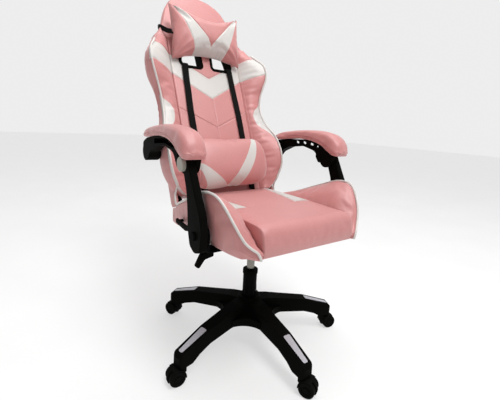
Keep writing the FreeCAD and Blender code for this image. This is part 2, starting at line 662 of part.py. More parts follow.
def arm_beam():
    """Arched beam under the pad, with a round lug at the front and a hub at the rear."""
    y, z = POST_HEAD
    rear_y, rear_z = ARM_REAR
    sole = [(py, pz, 0) for py, pz in PAD_SOLE]
    arch = slab_x(sole + [
        (262, 698, 14), (268, 650, 20), (222, 640, 20), (196, 668, 40), (140, 692, 60), (60, 702, 80),
        (-6, 688, 40), (-34, 650, 12), (-96, 650, 14), (-104, 680, 6), (-112, 682, 0),
    ], LUG_IN, ARM_OUT)
    hub = rod(29, (LUG_IN, rear_y, rear_z), (ARM_OUT, rear_y, rear_z))
    lug = rod(PIVOT_R, (LUG_IN, y, z), (POST_IN - GAP, y, z))
    beam = arch.cut(box(POST_IN - GAP, 330, -200, -38, 600, 692))
    beam = beam.cut(rod(PIVOT_R + 4, (POST_IN - GAP, y, z), (330, y, z)))
    beam = beam.cut(box(LUG_IN - 10, ARM_IN - 2, -20, 205, 600, 800))
    beam = beam.fuse([hub, lug]).removeSplitter()
    channel = [(-30, 702, 3), (-2, 700, 6), (60, 708, 30), (120, 703, 20), (150, 699, 4)]
    channel += [(150, 716, 4), (60, 721.5, 30), (-30, 712.5, 3)]
    beam = beam.cut(slab_x(channel, ARM_IN + 5, ARM_OUT + 1))
    for slot_y, slot_z in ((92, 714.0), (53, 714.5), (14, 712.0), (-20, 706.0)):
        beam = beam.cut(slot(slot_y, slot_z))
    beam = beam.cut(rod(POST_PIN_R + RUN, (LUG_IN + 4, y, z), (300, y, z)))
    return beam.cut(rod(REAR_PIN_R + 0.6, (LUG_IN - 5, rear_y, rear_z), (ARM_OUT - 3.4, rear_y, rear_z)))


def slot(y, z):
    """Slanted window through the beam's web."""
    window = slab_x([(-10, -5, 4.5), (10, -5, 4.5), (10, 5, 4.5), (-10, 5, 4.5)], 240, 330)
    window.rotate(Vector(0, 0, 0), Vector(1, 0, 0), 15)
    window.translate(Vector(0, y, z))
    return window


def arm_pad():
    sole = [(py, pz, 0) for py, pz in PAD_SOLE]
    top = [(224, 738, 12), (150, 749, 90), (40, 757, 90), (-50, 756, 60), (-100, 738, 30), (-124, 702, 10)]
    pad = slab_x(sole + top, PAD_IN, PAD_OUT)
    return smooth(pad, 9, lambda e: abs(e.BoundBox.XLength) < 0.01 and e.BoundBox.ZMax > 737)


# ---- build ----------------------------------------------------------------------------
def build():
    save("star_base", star_base())
    save("leg_inserts", leg_inserts())
    save("gas_cylinder", gas_cylinder())
    save("cylinder_collar", cylinder_collar())
    save("caster_stems", caster_stems())
    for index in range(LEGS):
        number = str(index + 1)
        save("caster_hood_" + number, at_caster(caster_hood(), index))
        save("caster_axle_" + number, at_caster(caster_axle(), index))
        save("caster_wheels_" + number, at_caster(caster_wheels(), index))
    save("gas_piston", gas_piston())
    save("gas_rod", gas_rod())
    save("tilt_housing", tilt_housing())
    save("tilt_pin", tilt_pin())
    save("tilt_spring", tilt_spring())
    save("tension_knob", tension_knob())
    save("lift_lever", lift_lever())
    save("lift_lever_grip", lift_lever_grip())
    save("tilt_plate", tilt_plate())
    save("seat_pan", seat_pan())
    save("seat_bolts", seat_bolts())
    save("seat_cushion", seat_cushion())
    save("seat_wing_left", seat_wing())
    save("seat_wing_right", mirrored(seat_wing()))
    save("seat_piping", seat_piping())
    save("side_brackets", both(side_bracket()))
    save("hinge_pins", both(hinge_pin()))
    save("post_bolts", both(post_bolt()))
    save("recline_lever", recline_lever())
    save("hinge_arms", on_back(both(hinge_arm())))
    save("back_frame", on_back(back_frame()))
    save("back_cushion", on_back(back_cushion()))
    save("back_bolster_left", on_back(back_bolster()))
    save("back_bolster_right", on_back(mirrored(back_bolster())))
    save("back_cover", on_back(back_cover()))
    save("back_piping", on_back(back_piping()))
    save("hole_bezels", on_back(both(hole_bezel())))
    save("arm_rear_brackets", on_back(both(arm_rear_bracket())))
    save("lumbar_straps", on_back(both(lumbar_strap())))
    save("head_pillow", on_back(head_pillow()))
    save("head_strap", on_back(head_strap()))
    save("lumbar_pillow", on_back(lumbar_pillow()))
    for side, place in (("left", lambda shape: shape), ("right", mirrored)):
        save("arm_post_" + side, place(arm_post()))
        save("pivot_cap_" + side, place(pivot_cap()))
        save("arm_beam_" + side, place(arm_beam()))
        save("arm_pad_" + side, place(arm_pad()))


build()
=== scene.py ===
import bmesh
import bpy
import json
import math
import numpy as np
from mathutils import Matrix, Vector
from mathutils.bvhtree import BVHTree


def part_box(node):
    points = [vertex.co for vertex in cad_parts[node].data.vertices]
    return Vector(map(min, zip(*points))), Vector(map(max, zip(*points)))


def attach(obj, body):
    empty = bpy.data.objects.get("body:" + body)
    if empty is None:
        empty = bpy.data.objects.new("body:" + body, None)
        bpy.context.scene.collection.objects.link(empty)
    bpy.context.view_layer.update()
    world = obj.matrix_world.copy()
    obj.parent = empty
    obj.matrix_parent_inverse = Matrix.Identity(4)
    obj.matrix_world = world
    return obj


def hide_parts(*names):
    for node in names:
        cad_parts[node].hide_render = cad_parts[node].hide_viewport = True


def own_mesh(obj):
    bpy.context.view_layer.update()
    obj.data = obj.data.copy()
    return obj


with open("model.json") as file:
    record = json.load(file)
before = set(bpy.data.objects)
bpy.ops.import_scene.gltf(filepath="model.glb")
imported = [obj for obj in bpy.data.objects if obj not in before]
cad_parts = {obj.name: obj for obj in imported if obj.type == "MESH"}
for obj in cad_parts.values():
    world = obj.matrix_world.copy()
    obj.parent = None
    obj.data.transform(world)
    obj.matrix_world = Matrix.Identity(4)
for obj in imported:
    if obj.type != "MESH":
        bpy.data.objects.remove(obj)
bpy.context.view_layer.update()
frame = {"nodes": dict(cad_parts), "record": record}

# Lengths are in millimetres until a mesh is made; the row frame is in metres.
MM = 0.001
LEAN = math.radians(24)                  # backrest, from the vertical
HINGE_Y, HINGE_Z = 170.0, 485.0          # recline hinge
FRONT, MID, REAR = -15.0, 8.0, 42.0      # backrest layers, ahead of and behind the hinge
FOOT = 25.0                              # lower edge of the backrest above the hinge
SEAM_X = 150.0                           # seam between the centre panel and the wings
SHOULDER = 640.0                         # where the wings end
CUSHION_HALF, CUSHION_TOP, CUSHION_SOLE = 168.0, 530.0, 457.0
SEAT_FRONT, SEAT_REAR = -285.0, 148.0
SEAT_SOLE = 446.0
ARM_X = 279.0
SHELL_HALF = 218.0                       # most that the rear shell's half-width may be
LEVER_Y, LEVER_Z = 40.0, 470.0           # shaft of the recline lever
LEVER_BORE = 6.5                         # radius of its bore through the seat's right wing
RECESS_FLOOR = 14.0                      # behind the harness holes

# height above the hinge, half-width, forward reach of the wings, rear edge of their outer side
WINGS = np.array((
    (25, 188, 20, 7), (40, 207, 28, 7), (75, 228, 46, 7), (110, 241, 62, 7), (150, 246, 70, 7),
    (180, 245.5, 70, 7), (250, 243, 50, 7), (295, 229, 30, 7), (366, 221, 18, 7), (430, 230, 32, 7),
    (475, 246, 56, 0), (507, 253, 66, -13), (545, 250, 66, -20), (584, 229, 45, -18), (612, 214, 28, -6),
    (640, 200, 16, 7),
), float)
# height above the hinge, half-width of the head
HEAD = np.array((
    (640, 199), (673, 172), (701, 159), (745, 145), (786, 126), (812, 106), (830, 78), (840, 52), (845, 24),
), float)
# seat wings: Y, outer foot, crest half-width, crest height, inner height
SEAT_WINGS = np.array((
    (-286, 180, 184, 466, 452), (-266, 202, 211, 490, 464), (-248, 216, 230, 528, 482),
    (-228, 225, 241, 560, 498), (-205, 231, 250, 587, 511), (-157, 236, 257, 600, 519),
    (-65, 240, 255, 573, 522), (30, 238, 249, 534, 517), (100, 234, 240, 506, 500),
    (140, 231, 232, 487, 485), (160, 230, 230, 481, 480),
), float)
# arm pad: Y, sole height, top height, half-width
PAD = np.array((
    (-126, 688, 700, 18), (-121, 681, 716, 27), (-108, 680, 734, 33), (-85, 690, 748, 35),
    (-50, 709, 756, 34), (-10, 721, 759, 33), (50, 727, 758, 32), (100, 727, 755, 31),
    (150, 722, 750, 30), (205, 716, 741, 29), (223, 716, 736, 26),
), float)
# V on the lumbar pillow: height, then the edges of the arm at +X and of the arm at -X
LUMBAR_V = np.array((
    (20, -66, -14, -26, -121), (39, -48, 8, -48, -127), (71, -16, 35, -87, -139),
    (100, 8, 56, -122, -149), (130, 31, 74, -158, -158), (165, 55, 88, -200, -200),
    (206, 82, 102, -250, -250), (220, 90, 108, -260, -260),
), float)
# white patch at the waist: height, width inwards from the welt
WAIST = np.array((
    (30, 8), (200, 8), (236, 10), (262, 22), (290, 40), (320, 45), (345, 43), (364, 32), (382, 12),
    (396, 3), (404, -4),
), float)
# harness hole: x, height, corner radius
HOLE = ((26, 536, 8), (110, 536, 16), (88, 626, 10), (30, 626, 8))
# seams that rise outwards: height at the middle, rise per mm on the panel, on the wings, cosine
TOP_LINE = (490, 0.565, 0.24, 0.87)
FOOT_LINE = (405, 0.602, 0.126, 0.857)
V_LINE = (287, 0.504, 0, 0.893)
PATCH_X, PATCH_Y, PATCH_SLOPE = 98, -97, 0.178   # white panels on the seat: inner edge, front edge
WING_INNER, TAIL_INNER, TAIL_Y = 170.5, 206.5, 146   # inner face of the seat wings, and where it steps out
PITCH, STITCH, THREAD_HALF = 6.0, 4.2, 0.55      # stitches
FRAMES = 20                              # of cloth simulation
WORD = {1: "left", -1: "right"}


# ---- small maths ----
def spline(table, at, column):
    """Smooth curve through one column of a table, over its first column."""
    xs, ys = table[:, 0], table[:, column]
    at = np.clip(np.asarray(at, float), xs[0], xs[-1])
    slope = np.gradient(ys, xs)
    k = np.clip(np.searchsorted(xs, at) - 1, 0, len(xs) - 2)
    h = xs[k + 1] - xs[k]
    t = (at - xs[k]) / h
    return ((2 * t**3 - 3 * t**2 + 1) * ys[k] + (t**3 - 2 * t**2 + t) * h * slope[k]
            + (3 * t**2 - 2 * t**3) * ys[k + 1] + (t**3 - t**2) * h * slope[k + 1])


def back_to_row(p):
    """Points drawn upright about the recline hinge, in mm, to the row frame, in metres."""
    p = np.asarray(p, float)
    y = HINGE_Y + p[..., 1] * math.cos(LEAN) + p[..., 2] * math.sin(LEAN)
    z = HINGE_Z - p[..., 1] * math.sin(LEAN) + p[..., 2] * math.cos(LEAN)
    return np.stack((p[..., 0], y, z), -1) * MM


def row_to_back(p):
    p = np.asarray(p, float) / MM
    y, z = p[..., 1] - HINGE_Y, p[..., 2] - HINGE_Z
    ahead, up = y * math.cos(LEAN) - z * math.sin(LEAN), y * math.sin(LEAN) + z * math.cos(LEAN)
    return np.stack((p[..., 0], ahead, up), -1)


def row(p):
    return np.asarray(p, float) * MM


def row_to_mm(p):
    return np.asarray(p, float) / MM


def ring(corners):
    """Closed outline with rounded corners: (u, v, radius, next edge's points, next edge's bulge)."""
    p = np.array([c[:2] for c in corners], float)
    turn = np.sign(np.sum(p[:, 0] * np.roll(p[:, 1], -1) - np.roll(p[:, 0], -1) * p[:, 1]))
    count = len(corners)
    legs = np.roll(p, -1, 0) - p
    lengths = np.linalg.norm(legs, axis=1)
    legs = legs / lengths[:, None]
    out = []
    for i in range(count):
        radius = min(corners[i][2], 0.49 * lengths[i], 0.49 * lengths[i - 1])
        enter, leave = p[i] - legs[i - 1] * radius, p[i] + legs[i] * radius
        for t in np.linspace(0, 1, 5):
            out.append((1 - t) ** 2 * enter + 2 * t * (1 - t) * p[i] + t * t * leave)
        after = (i + 1) % count
        ahead = min(corners[after][2], 0.49 * lengths[after], 0.49 * lengths[i])
        end = p[after] - legs[i] * ahead
        outward = turn * np.array((legs[i][1], -legs[i][0]))
        points = corners[i][3]
        for j in range(1, points + 1):
            t = j / (points + 1)
            out.append(leave + (end - leave) * t + outward * corners[i][4] * math.sin(math.pi * t))
    return np.array(out)


# ---- meshes ----
def mesh_object(name, points, faces, materials=()):
    mesh = bpy.data.meshes.new(name)
    mesh.from_pydata([tuple(p) for p in points], [], faces)
    for material in materials:
        mesh.materials.append(material)
    obj = bpy.data.objects.new(name, mesh)
    bpy.context.scene.collection.objects.link(obj)
    bm = bmesh.new()
    bm.from_mesh(mesh)
    bmesh.ops.remove_doubles(bm, verts=bm.verts, dist=1e-6)
    bmesh.ops.recalc_face_normals(bm, faces=bm.faces)
    if bm.calc_volume(signed=True) < 0:
        bmesh.ops.reverse_faces(bm, faces=bm.faces)
    bm.to_mesh(mesh)
    bm.free()
    mesh.shade_smooth()
    return obj


def loft(name, rows, place, materials, domes=(6.0, 6.0)):
    """Closed skin over equal rings of 3-D points, with a shallow dome on each end."""
    rows = [np.asarray(r, float) for r in rows]
    count = len(rows[0])

    def dome(edge, inner, height):
        middle, before = edge.mean(0), inner.mean(0)
        out = (middle - before) / max(np.linalg.norm(middle - before), 1e-9)
        steps = [middle + (edge - middle) * math.cos(a) + out * height * math.sin(a)
                 for a in (0.35, 0.8, 1.2)]
        return steps, middle + out * height

    low, low_tip = dome(rows[0], rows[1], domes[0])
    high, high_tip = dome(rows[-1], rows[-2], domes[1])
    rows = low[::-1] + rows + high
    points = np.concatenate(rows + [low_tip[None], high_tip[None]])
    faces = []
    for i in range(len(rows) - 1):
        for j in range(count):
            k = (j + 1) % count
            faces.append((i * count + j, i * count + k, (i + 1) * count + k, (i + 1) * count + j))
    last = (len(rows) - 1) * count
    tips = len(rows) * count
    for j in range(count):
        k = (j + 1) % count
        faces.append((tips, k, j))
        faces.append((tips + 1, last + j, last + k))
    return mesh_object(name, place(points), faces, materials)


def tangents(points, closed=False):
    if closed:
        along = np.roll(points, -1, 0) - np.roll(points, 1, 0)
    else:
        along = np.gradient(points, axis=0)
    return along / np.linalg.norm(along, axis=1)[:, None]


def at_height(section, z, side=1):
    """Ring in a level plane of the backrest, from an (x, y) outline."""
    return np.column_stack((side * section[:, 0], section[:, 1], np.full(len(section), z)))


def dense(points, step=6.0, closed=False):
    """Smooth line through given points."""
    points = np.asarray(points, float)
    if closed:
        points = np.concatenate((points[-2:], points, points[:3]))
    lengths = np.concatenate(([0], np.cumsum(np.linalg.norm(np.diff(points, axis=0), axis=1))))
    table = np.column_stack((lengths, points))
    start, end = (lengths[2], lengths[-3]) if closed else (0.0, lengths[-1])
    at = np.linspace(start, end, max(int((end - start) / step), 4) + 1)
    line = np.stack([spline(table, at, k) for k in (1, 2, 3)], -1)
    return line[:-1] if closed else line


def tube(name, points, radius, place, materials, sides=10):
    """Round welt or cord along a line, with closed ends."""
    points = np.asarray(points, float)
    tangent = tangents(points)
    across = np.cross(tangent[0], (0.3, 0.5, 0.8))
    rows = []
    for p, t in zip(points, tangent):
        across = across - t * (across @ t)
        across = across / np.linalg.norm(across)
        other = np.cross(t, across)
        turns = np.arange(sides) * 2 * math.pi / sides
        rows.append(p + radius * (np.cos(turns)[:, None] * across + np.sin(turns)[:, None] * other))
    return loft(name, rows, place, materials, (radius * 0.5, radius * 0.5))


def band(name, points, side, width, thickness, place, materials, closed=False):
    """Flat webbing along a line; side is the direction of its width at each point, or one for all."""
    points = np.asarray(points, float)
    side = np.broadcast_to(np.asarray(side, float), points.shape)
    tangent = tangents(points, closed)
    side = side - tangent * np.sum(side * tangent, 1)[:, None]
    side = side / np.linalg.norm(side, axis=1)[:, None]
    face = np.cross(tangent, side)
    across = np.linspace(-1, 1, 7)
    shape = [(a, 1.0 - 0.6 * abs(a) ** 6) for a in across]
    shape += [(a, -1.0 + 0.6 * abs(a) ** 6) for a in across[::-1]]
    rings = [p + np.array([s * width / 2 * u + f * thickness / 2 * v for u, v in shape])
             for p, s, f in zip(points, side, face)]
    count = len(shape)
    all_points = np.concatenate(rings)
    faces = []
    rows = len(rings)
    for i in range(rows if closed else rows - 1):
        k = (i + 1) % rows
        for j in range(count):
            n = (j + 1) % count
            faces.append((i * count + j, i * count + n, k * count + n, k * count + j))
    if not closed:
        faces.append(tuple(range(count)))
        faces.append(tuple((rows - 1) * count + j for j in range(count)))
    return mesh_object(name, place(all_points), faces, materials)


# ---- padding by cloth simulation ----
PUFFED = []


def puff(obj, pinned, pressure=4.0, cap=8.0, ease=0.03, bending=0.6):
    """Marks a closed piece to be blown up by cloth simulation; pinned(vertices) is 1 where it is held."""
    PUFFED.append((obj, pinned, pressure, cap, ease, bending))


def simulate():
    """Runs every marked piece together and keeps the result, its movement capped at each piece's cap."""
    scene = bpy.context.scene
    rest = {}
    for obj, pinned, pressure, cap, ease, bending in PUFFED:
        co = np.array([v.co for v in obj.data.vertices], float)
        rest[obj.name] = co
        held = np.clip(pinned(co), 0, 1)
        group = obj.vertex_groups.new(name="held")
        for index, weight in enumerate(held):
            if weight > 0.01:
                group.add([index], float(weight), "REPLACE")
        cloth = obj.modifiers.new("cloth", "CLOTH")
        s = cloth.settings
        s.quality = 5
        s.mass = 0.3
        s.tension_stiffness = s.compression_stiffness = 18
        s.shear_stiffness = 8
        s.bending_stiffness = bending
        s.air_damping = 2
        s.use_pressure = True
        s.uniform_pressure_force = pressure
        s.shrink_min = -ease
        s.vertex_group_mass = "held"
        s.effector_weights.gravity = 0
        cloth.collision_settings.use_self_collision = False
        cloth.point_cache.frame_start = 1
        cloth.point_cache.frame_end = FRAMES
    for frame_number in range(1, FRAMES + 1):
        scene.frame_set(frame_number)
    graph = bpy.context.evaluated_depsgraph_get()
    shaped = {}
    for obj, *_ in PUFFED:
        mesh = obj.evaluated_get(graph).data
        co = np.empty(len(mesh.vertices) * 3)
        mesh.vertices.foreach_get("co", co)
        shaped[obj.name] = co.reshape(-1, 3)
    for obj, _, _, cap, _, _ in PUFFED:
        obj.modifiers.clear()
        obj.vertex_groups.clear()
        move = shaped[obj.name] - rest[obj.name]
        move[~np.isfinite(move)] = 0
        far = np.maximum(np.linalg.norm(move, axis=1), 1e-9)
        move *= (cap * MM * np.tanh(far / (cap * MM)) / far)[:, None]
        obj.data.vertices.foreach_set("co", (rest[obj.name] + move).ravel())
        obj.data.update()
    scene.frame_set(1)


def hold_back(co):
    """Holds the backrest's padding at its seams and against the cover behind it."""
    p = row_to_back(co)
    edge = np.minimum(np.abs(np.abs(p[:, 0]) - SEAM_X), np.abs(np.abs(p[:, 0]) - wing_half(p[:, 2])))
    return np.where((p[:, 1] > -2) | (edge < 5), 1.0, 0.0)


def hold_cushion(co):
    p = row_to_mm(co)
    held = (p[:, 2] < CUSHION_SOLE + 8) | (p[:, 1] > SEAT_REAR - 8) | (np.abs(p[:, 0]) > 164)
    return np.where(held, 1.0, 0.0)


def hold_wing(co):
    p = row_to_mm(co)
    crest = spline(SEAT_WINGS, p[:, 1], 3)
    across = np.abs(p[:, 0])
    held = (p[:, 2] < SEAT_SOLE + 6) | (p[:, 2] > crest - 6) | (across < 173) | (p[:, 1] > 140)
    return np.where(held | ((across > 230) & (p[:, 1] > -112)), 1.0, 0.0)


def hold_pad(co):
    p = row_to_mm(co)
    return np.where(p[:, 2] < spline(PAD, p[:, 1], 1) + 5, 1.0, 0.0)


def hold_head_pillow(co):
    p = row_to_back(co)
    return np.where(p[:, 1] > FRONT - 16, 1.0, 0.0)


def hold_lumbar(co):
    p = row_to_back(co)
    return np.where((p[:, 1] > FRONT - 14) | (np.abs(np.abs(p[:, 0]) - 148) < 2), 1.0, 0.0)


# ---- seams, panels and stitches ----
def edit(obj, steps):
    bm = bmesh.new()
    bm.from_mesh(obj.data)
    steps(bm)
    bm.normal_update()
    bm.to_mesh(obj.data)
    bm.free()
    obj.data.shade_smooth()


def values(bm, local, f):
    bm.verts.index_update()
    return f(local(np.array([v.co for v in bm.verts], float)))


def cut(bm, local, f):
    """New edges where f changes sign. f takes points in mm and is nan where it doesn't apply."""
    value = values(bm, local, f)
    fresh = []
    for e in list(bm.edges):
        a, b = e.verts
        va, vb = value[a.index], value[b.index]
        if va * vb < 0:
            share = min(max(va / (va - vb), 0.04), 0.96)
            fresh.append((e, a, share))
    made = [bmesh.utils.edge_split(e, a, share)[1] for e, a, share in fresh]
    bmesh.ops.connect_verts(bm, verts=made)


def groove(bm, local, f, half=3.0, depth=2.2):
    """Sewn seam along f = 0: cuts either side of it, then draws the surface in."""
    for offset in (-half, -half * 0.35, half * 0.35, half):
        cut(bm, local, lambda p, o=offset: f(p) + o)
    bm.normal_update()
    bm.verts.ensure_lookup_table()
    value = np.abs(values(bm, local, f))
    for v in bm.verts:
        d = value[v.index]
        if d < half:
            v.co -= v.normal * depth * MM * (1 - (d / half) ** 2)


def paint(obj, local, tests):
    """Gives faces the material whose index goes with the first test that holds at their middle."""
    middles = local(np.array([p.center for p in obj.data.polygons], float))
    normals = np.array([p.normal for p in obj.data.polygons], float)
    index = np.zeros(len(middles), int)
    for number, test in tests:
        index[test(middles, normals)] = number
    obj.data.polygons.foreach_set("material_index", index)
    obj.data.update()


def surface_line(obj, points, direction, place):
    """Points dropped onto a mesh along a direction, with the surface's normals there."""
    mesh = obj.data
    tree = BVHTree.FromPolygons([v.co for v in mesh.vertices], [tuple(p.vertices) for p in mesh.polygons])
    d = Vector(direction).normalized()
    hits = []
    for p in place(np.asarray(points, float)):
        hit, normal, *_ = tree.ray_cast(Vector(p) - d * 0.12, d, 0.3)
        if hit is not None:
            hits.append((np.array(hit) / MM, np.array(normal)))
    return hits


def stitches(name, obj, lines, direction, place, material):
    """Row of thread stitches lying on a mesh along given lines."""
    points, faces = [], []
    for line in lines:
        step = PITCH / 2
        hits = surface_line(obj, dense(line, step), direction, place)
        for i in range(0, len(hits) - 2, 2):
            a, normal = hits[i]
            b = hits[i + 1][0]
            along = b - a
            reach = np.linalg.norm(along)
            if not 0.3 * step < reach < 3 * step:
                continue
            along = along / reach
            side = np.cross(along, normal)
            base = len(points)
            middle, far = a + along * STITCH * 0.5, a + along * STITCH
            for end, grow in ((a - along * 0.2, 0.5), (middle, 1.0), (far, 0.5)):
                lift = 0.15 if grow < 1 else 0.75
                for u, v in ((-1, 0), (0, 1), (1, 0)):
                    points.append((end + side * THREAD_HALF * u * grow + normal * (lift * v + 0.05)) * MM)
            for k in (0, 3):
                for m in (0, 1):
                    faces.append((base + k + m, base + k + m + 1, base + k + m + 4, base + k + m + 3))
                faces.append((base + k + 2, base + k, base + k + 3, base + k + 5))
            faces.append((base, base + 1, base + 2))
            faces.append((base + 6, base + 7, base + 8))
    return mesh_object(name, points, faces, [material])


# ---- materials ----
def new_material(name):
    material = bpy.data.materials.new(name)
    material.use_nodes = True
    nodes, links = material.node_tree.nodes, material.node_tree.links
    return material, nodes, links, nodes["Principled BSDF"]


def node(nodes, kind, **settings):
    made = nodes.new(kind)
    for key, value in settings.items():
        if hasattr(made, key):
            setattr(made, key, value)
        else:
            made.inputs[key.replace("_", " ")].default_value = value
    return made


def ramp(nodes, links, source, stops):
    made = nodes.new("ShaderNodeValToRGB")
    elements = made.color_ramp.elements
    while len(elements) < len(stops):
        elements.new(0.5)
    for element, (place, colour) in zip(elements, stops):
        element.position = place
        element.color = colour if len(colour) == 4 else (*colour, 1)
    links.new(source, made.inputs["Fac"])
    return made


def grey(v):
    return (v, v, v, 1)


def shaded(colour, factor):
    return tuple(min(c * factor, 1.0) for c in colour)


def mapped(nodes, links, *textures):
    """Gives textures the object's own coordinates."""
    place = node(nodes, "ShaderNodeTexCoord").outputs["Object"]
    for texture in textures:
        links.new(place, texture.inputs["Vector"])


def coloured(nodes, links, source, stops, shader, socket="Base Color"):
    links.new(ramp(nodes, links, source, stops).outputs["Color"], shader.inputs[socket])


def relief(nodes, links, source, strength, distance, shader):
    made = node(nodes, "ShaderNodeBump", Strength=strength, Distance=distance)
    links.new(source, made.inputs["Height"])
    links.new(made.outputs["Normal"], shader.inputs["Normal"])
    return made


def leather(name, colour, pit_shade, grain=420.0, crease=0.35):
    """Coated artificial leather: pebbled grain, fine creases, a faint uneven tone, and painted shade
    darkening the pits between the pebbles.
    """
    material, nodes, links, shader = new_material(name)
    broad = node(nodes, "ShaderNodeTexNoise", Scale=9.0, Detail=4.0, Roughness=0.55)
    fine = node(nodes, "ShaderNodeTexNoise", Scale=130.0, Detail=3.0, Roughness=0.6)
    pebble = node(nodes, "ShaderNodeTexVoronoi", Scale=grain, feature="SMOOTH_F1", Smoothness=0.35)
    lines = node(nodes, "ShaderNodeTexNoise", Scale=34.0, Detail=6.0, Roughness=0.62, Distortion=0.9)
    mapped(nodes, links, broad, fine, pebble, lines)
    tones = ((0.3, shaded(colour, 0.955)), (0.7, shaded(colour, 1.025)))
    tone = ramp(nodes, links, broad.outputs["Fac"], tones)
    # Painted shade: the pits between the pebbles, made low by the inverted bump below, are darkened towards
    # the shade colour.
    pit_shade_mask = ramp(nodes, links, pebble.outputs["Distance"], ((0.25, grey(0)), (0.85, grey(1))))
    mix = node(nodes, "ShaderNodeMix", data_type="RGBA")
    links.new(pit_shade_mask.outputs["Color"], mix.inputs[0])
    links.new(tone.outputs["Color"], mix.inputs[6])
    mix.inputs[7].default_value = (*pit_shade, 1)
    soften = node(nodes, "ShaderNodeMix", data_type="RGBA")
    soften.inputs[0].default_value = 0.22
    links.new(tone.outputs["Color"], soften.inputs[6])
    links.new(mix.outputs[2], soften.inputs[7])
    links.new(soften.outputs[2], shader.inputs["Base Color"])
    coloured(nodes, links, fine.outputs["Fac"], ((0.3, grey(0.42)), (0.75, grey(0.56))), shader, "Roughness")
    wrinkle = node(nodes, "ShaderNodeBump", Strength=crease, Distance=0.0016)
    links.new(lines.outputs["Fac"], wrinkle.inputs["Height"])
    pebbles = relief(nodes, links, pebble.outputs["Distance"], 0.45, 0.0004, shader)
    pebbles.invert = True
    links.new(wrinkle.outputs["Normal"], pebbles.inputs["Normal"])
    shader.inputs["Specular IOR Level"].default_value = 0.8
    shader.inputs["Sheen Weight"].default_value = 0.3
    shader.inputs["Sheen Roughness"].default_value = 0.4
    return material


def plastic(name, colour, rough, grain, bump, wear=1.5, metal=0.0, gleam=0.5):
    """Moulded plastic, paint or bare metal with fine texture and rubbed patches."""
    material, nodes, links, shader = new_material(name)
    texture = node(nodes, "ShaderNodeTexNoise", Scale=grain, Detail=2.0)
    rub = node(nodes, "ShaderNodeTexNoise", Scale=22.0, Detail=5.0, Roughness=0.65)
    mapped(nodes, links, texture, rub)
    rubbed = rub.outputs["Fac"]
    tones = ((0.38, colour), (0.62, shaded(colour, 1.12)), (0.8, shaded(colour, wear)))
    coloured(nodes, links, rubbed, tones, shader)
    coloured(nodes, links, rubbed, ((0.3, grey(rough[0])), (0.75, grey(rough[1]))), shader, "Roughness")
    grains = relief(nodes, links, texture.outputs["Fac"], bump, 0.0003, shader)
    edges = node(nodes, "ShaderNodeBevel", samples=4, Radius=0.0014)
    links.new(edges.outputs["Normal"], grains.inputs["Normal"])
    shader.inputs["Metallic"].default_value = metal
    shader.inputs["Specular IOR Level"].default_value = gleam
    if gleam < 0.2:
        shader.inputs["IOR"].default_value = 1.15
    return material


def webbing(name, colour):
    """Woven polyester strap: ribs across, a finer weave along, with painted highlight on the raised crossings
    and painted shade in the dips.
    """
    material, nodes, links, shader = new_material(name)
    wave = "ShaderNodeTexWave"
    ribs = node(nodes, wave, wave_type="BANDS", bands_direction="Z", Scale=520.0, Distortion=0.6, Detail=1.0)
    cross = node(nodes, wave, wave_type="BANDS", bands_direction="X", Scale=416.0, Distortion=0.4)
    mapped(nodes, links, ribs, cross)
    both = node(nodes, "ShaderNodeMath", operation="MULTIPLY")
    links.new(ribs.outputs["Fac"], both.inputs[0])
    links.new(cross.outputs["Fac"], both.inputs[1])
    # Painted light and shade: the weave's raised crossings are lightened to 2.2 times the colour and its dips
    # shaded to 0.6 times, following the bump.
    tones = ((0.0, shaded(colour, 0.6)), (0.9, shaded(colour, 2.2)))
    coloured(nodes, links, both.outputs[0], tones, shader)
    relief(nodes, links, both.outputs[0], 0.5, 0.0005, shader)
    shader.inputs["Roughness"].default_value = 0.72
    shader.inputs["Specular IOR Level"].default_value = 0.1
    return material


def hatched(name):
    """Silver film with fine slanting hatching."""
    material, nodes, links, shader = new_material(name)
    lines = node(nodes, "ShaderNodeTexWave", wave_type="BANDS", bands_direction="DIAGONAL", Scale=170.0)
    mapped(nodes, links, lines)
    tones = ((0.25, (0.47, 0.46, 0.52)), (0.6, (0.66, 0.65, 0.70)))
    coloured(nodes, links, lines.outputs["Fac"], tones, shader)
    relief(nodes, links, lines.outputs["Fac"], 0.3, 0.0003, shader)
    shader.inputs["Roughness"].default_value = 0.38
    shader.inputs["Metallic"].default_value = 0.25
    return material


def wood(name):
    material, nodes, links, shader = new_material(name)
    grain = node(nodes, "ShaderNodeTexWave", wave_type="BANDS", bands_direction="X", Scale=16.0,
                 Distortion=5.0, Detail=4.0)
    mapped(nodes, links, grain)
    tones = ((0.2, (0.52, 0.36, 0.21)), (0.8, (0.67, 0.50, 0.33)))
    coloured(nodes, links, grain.outputs["Fac"], tones, shader)
    shader.inputs["Roughness"].default_value = 0.6
    return material


# The second colour of each leather is the painted shade in the pits of its grain.
PINK = leather("pink_leather", (0.60, 0.245, 0.235), (0.42, 0.13, 0.125))
WHITE = leather("white_leather", (0.64, 0.62, 0.59), (0.46, 0.43, 0.41), crease=0.25)
WELT = leather("welt_leather", (0.68, 0.65, 0.62), (0.50, 0.46, 0.43), grain=600.0, crease=0.1)
THREAD = plastic("thread", (0.80, 0.52, 0.50), (0.6, 0.75), 1500.0, 0.4)
STRAP = webbing("webbing", (0.0035, 0.0035, 0.0035))
BLACK = plastic("black_nylon", (0.004, 0.004, 0.0035), (0.34, 0.48), 800.0, 0.25, gleam=0.05)
STEEL_BLACK = plastic("powder_coat", (0.005, 0.005, 0.005), (0.45, 0.6), 1400.0, 0.35, gleam=0.05)
LACQUER = plastic("gloss_lacquer", (0.004, 0.004, 0.004), (0.16, 0.24), 300.0, 0.03, gleam=0.1)
CHROME = plastic("chrome", (0.20, 0.19, 0.17), (0.2, 0.28), 400.0, 0.02, 1.1, 1.0)
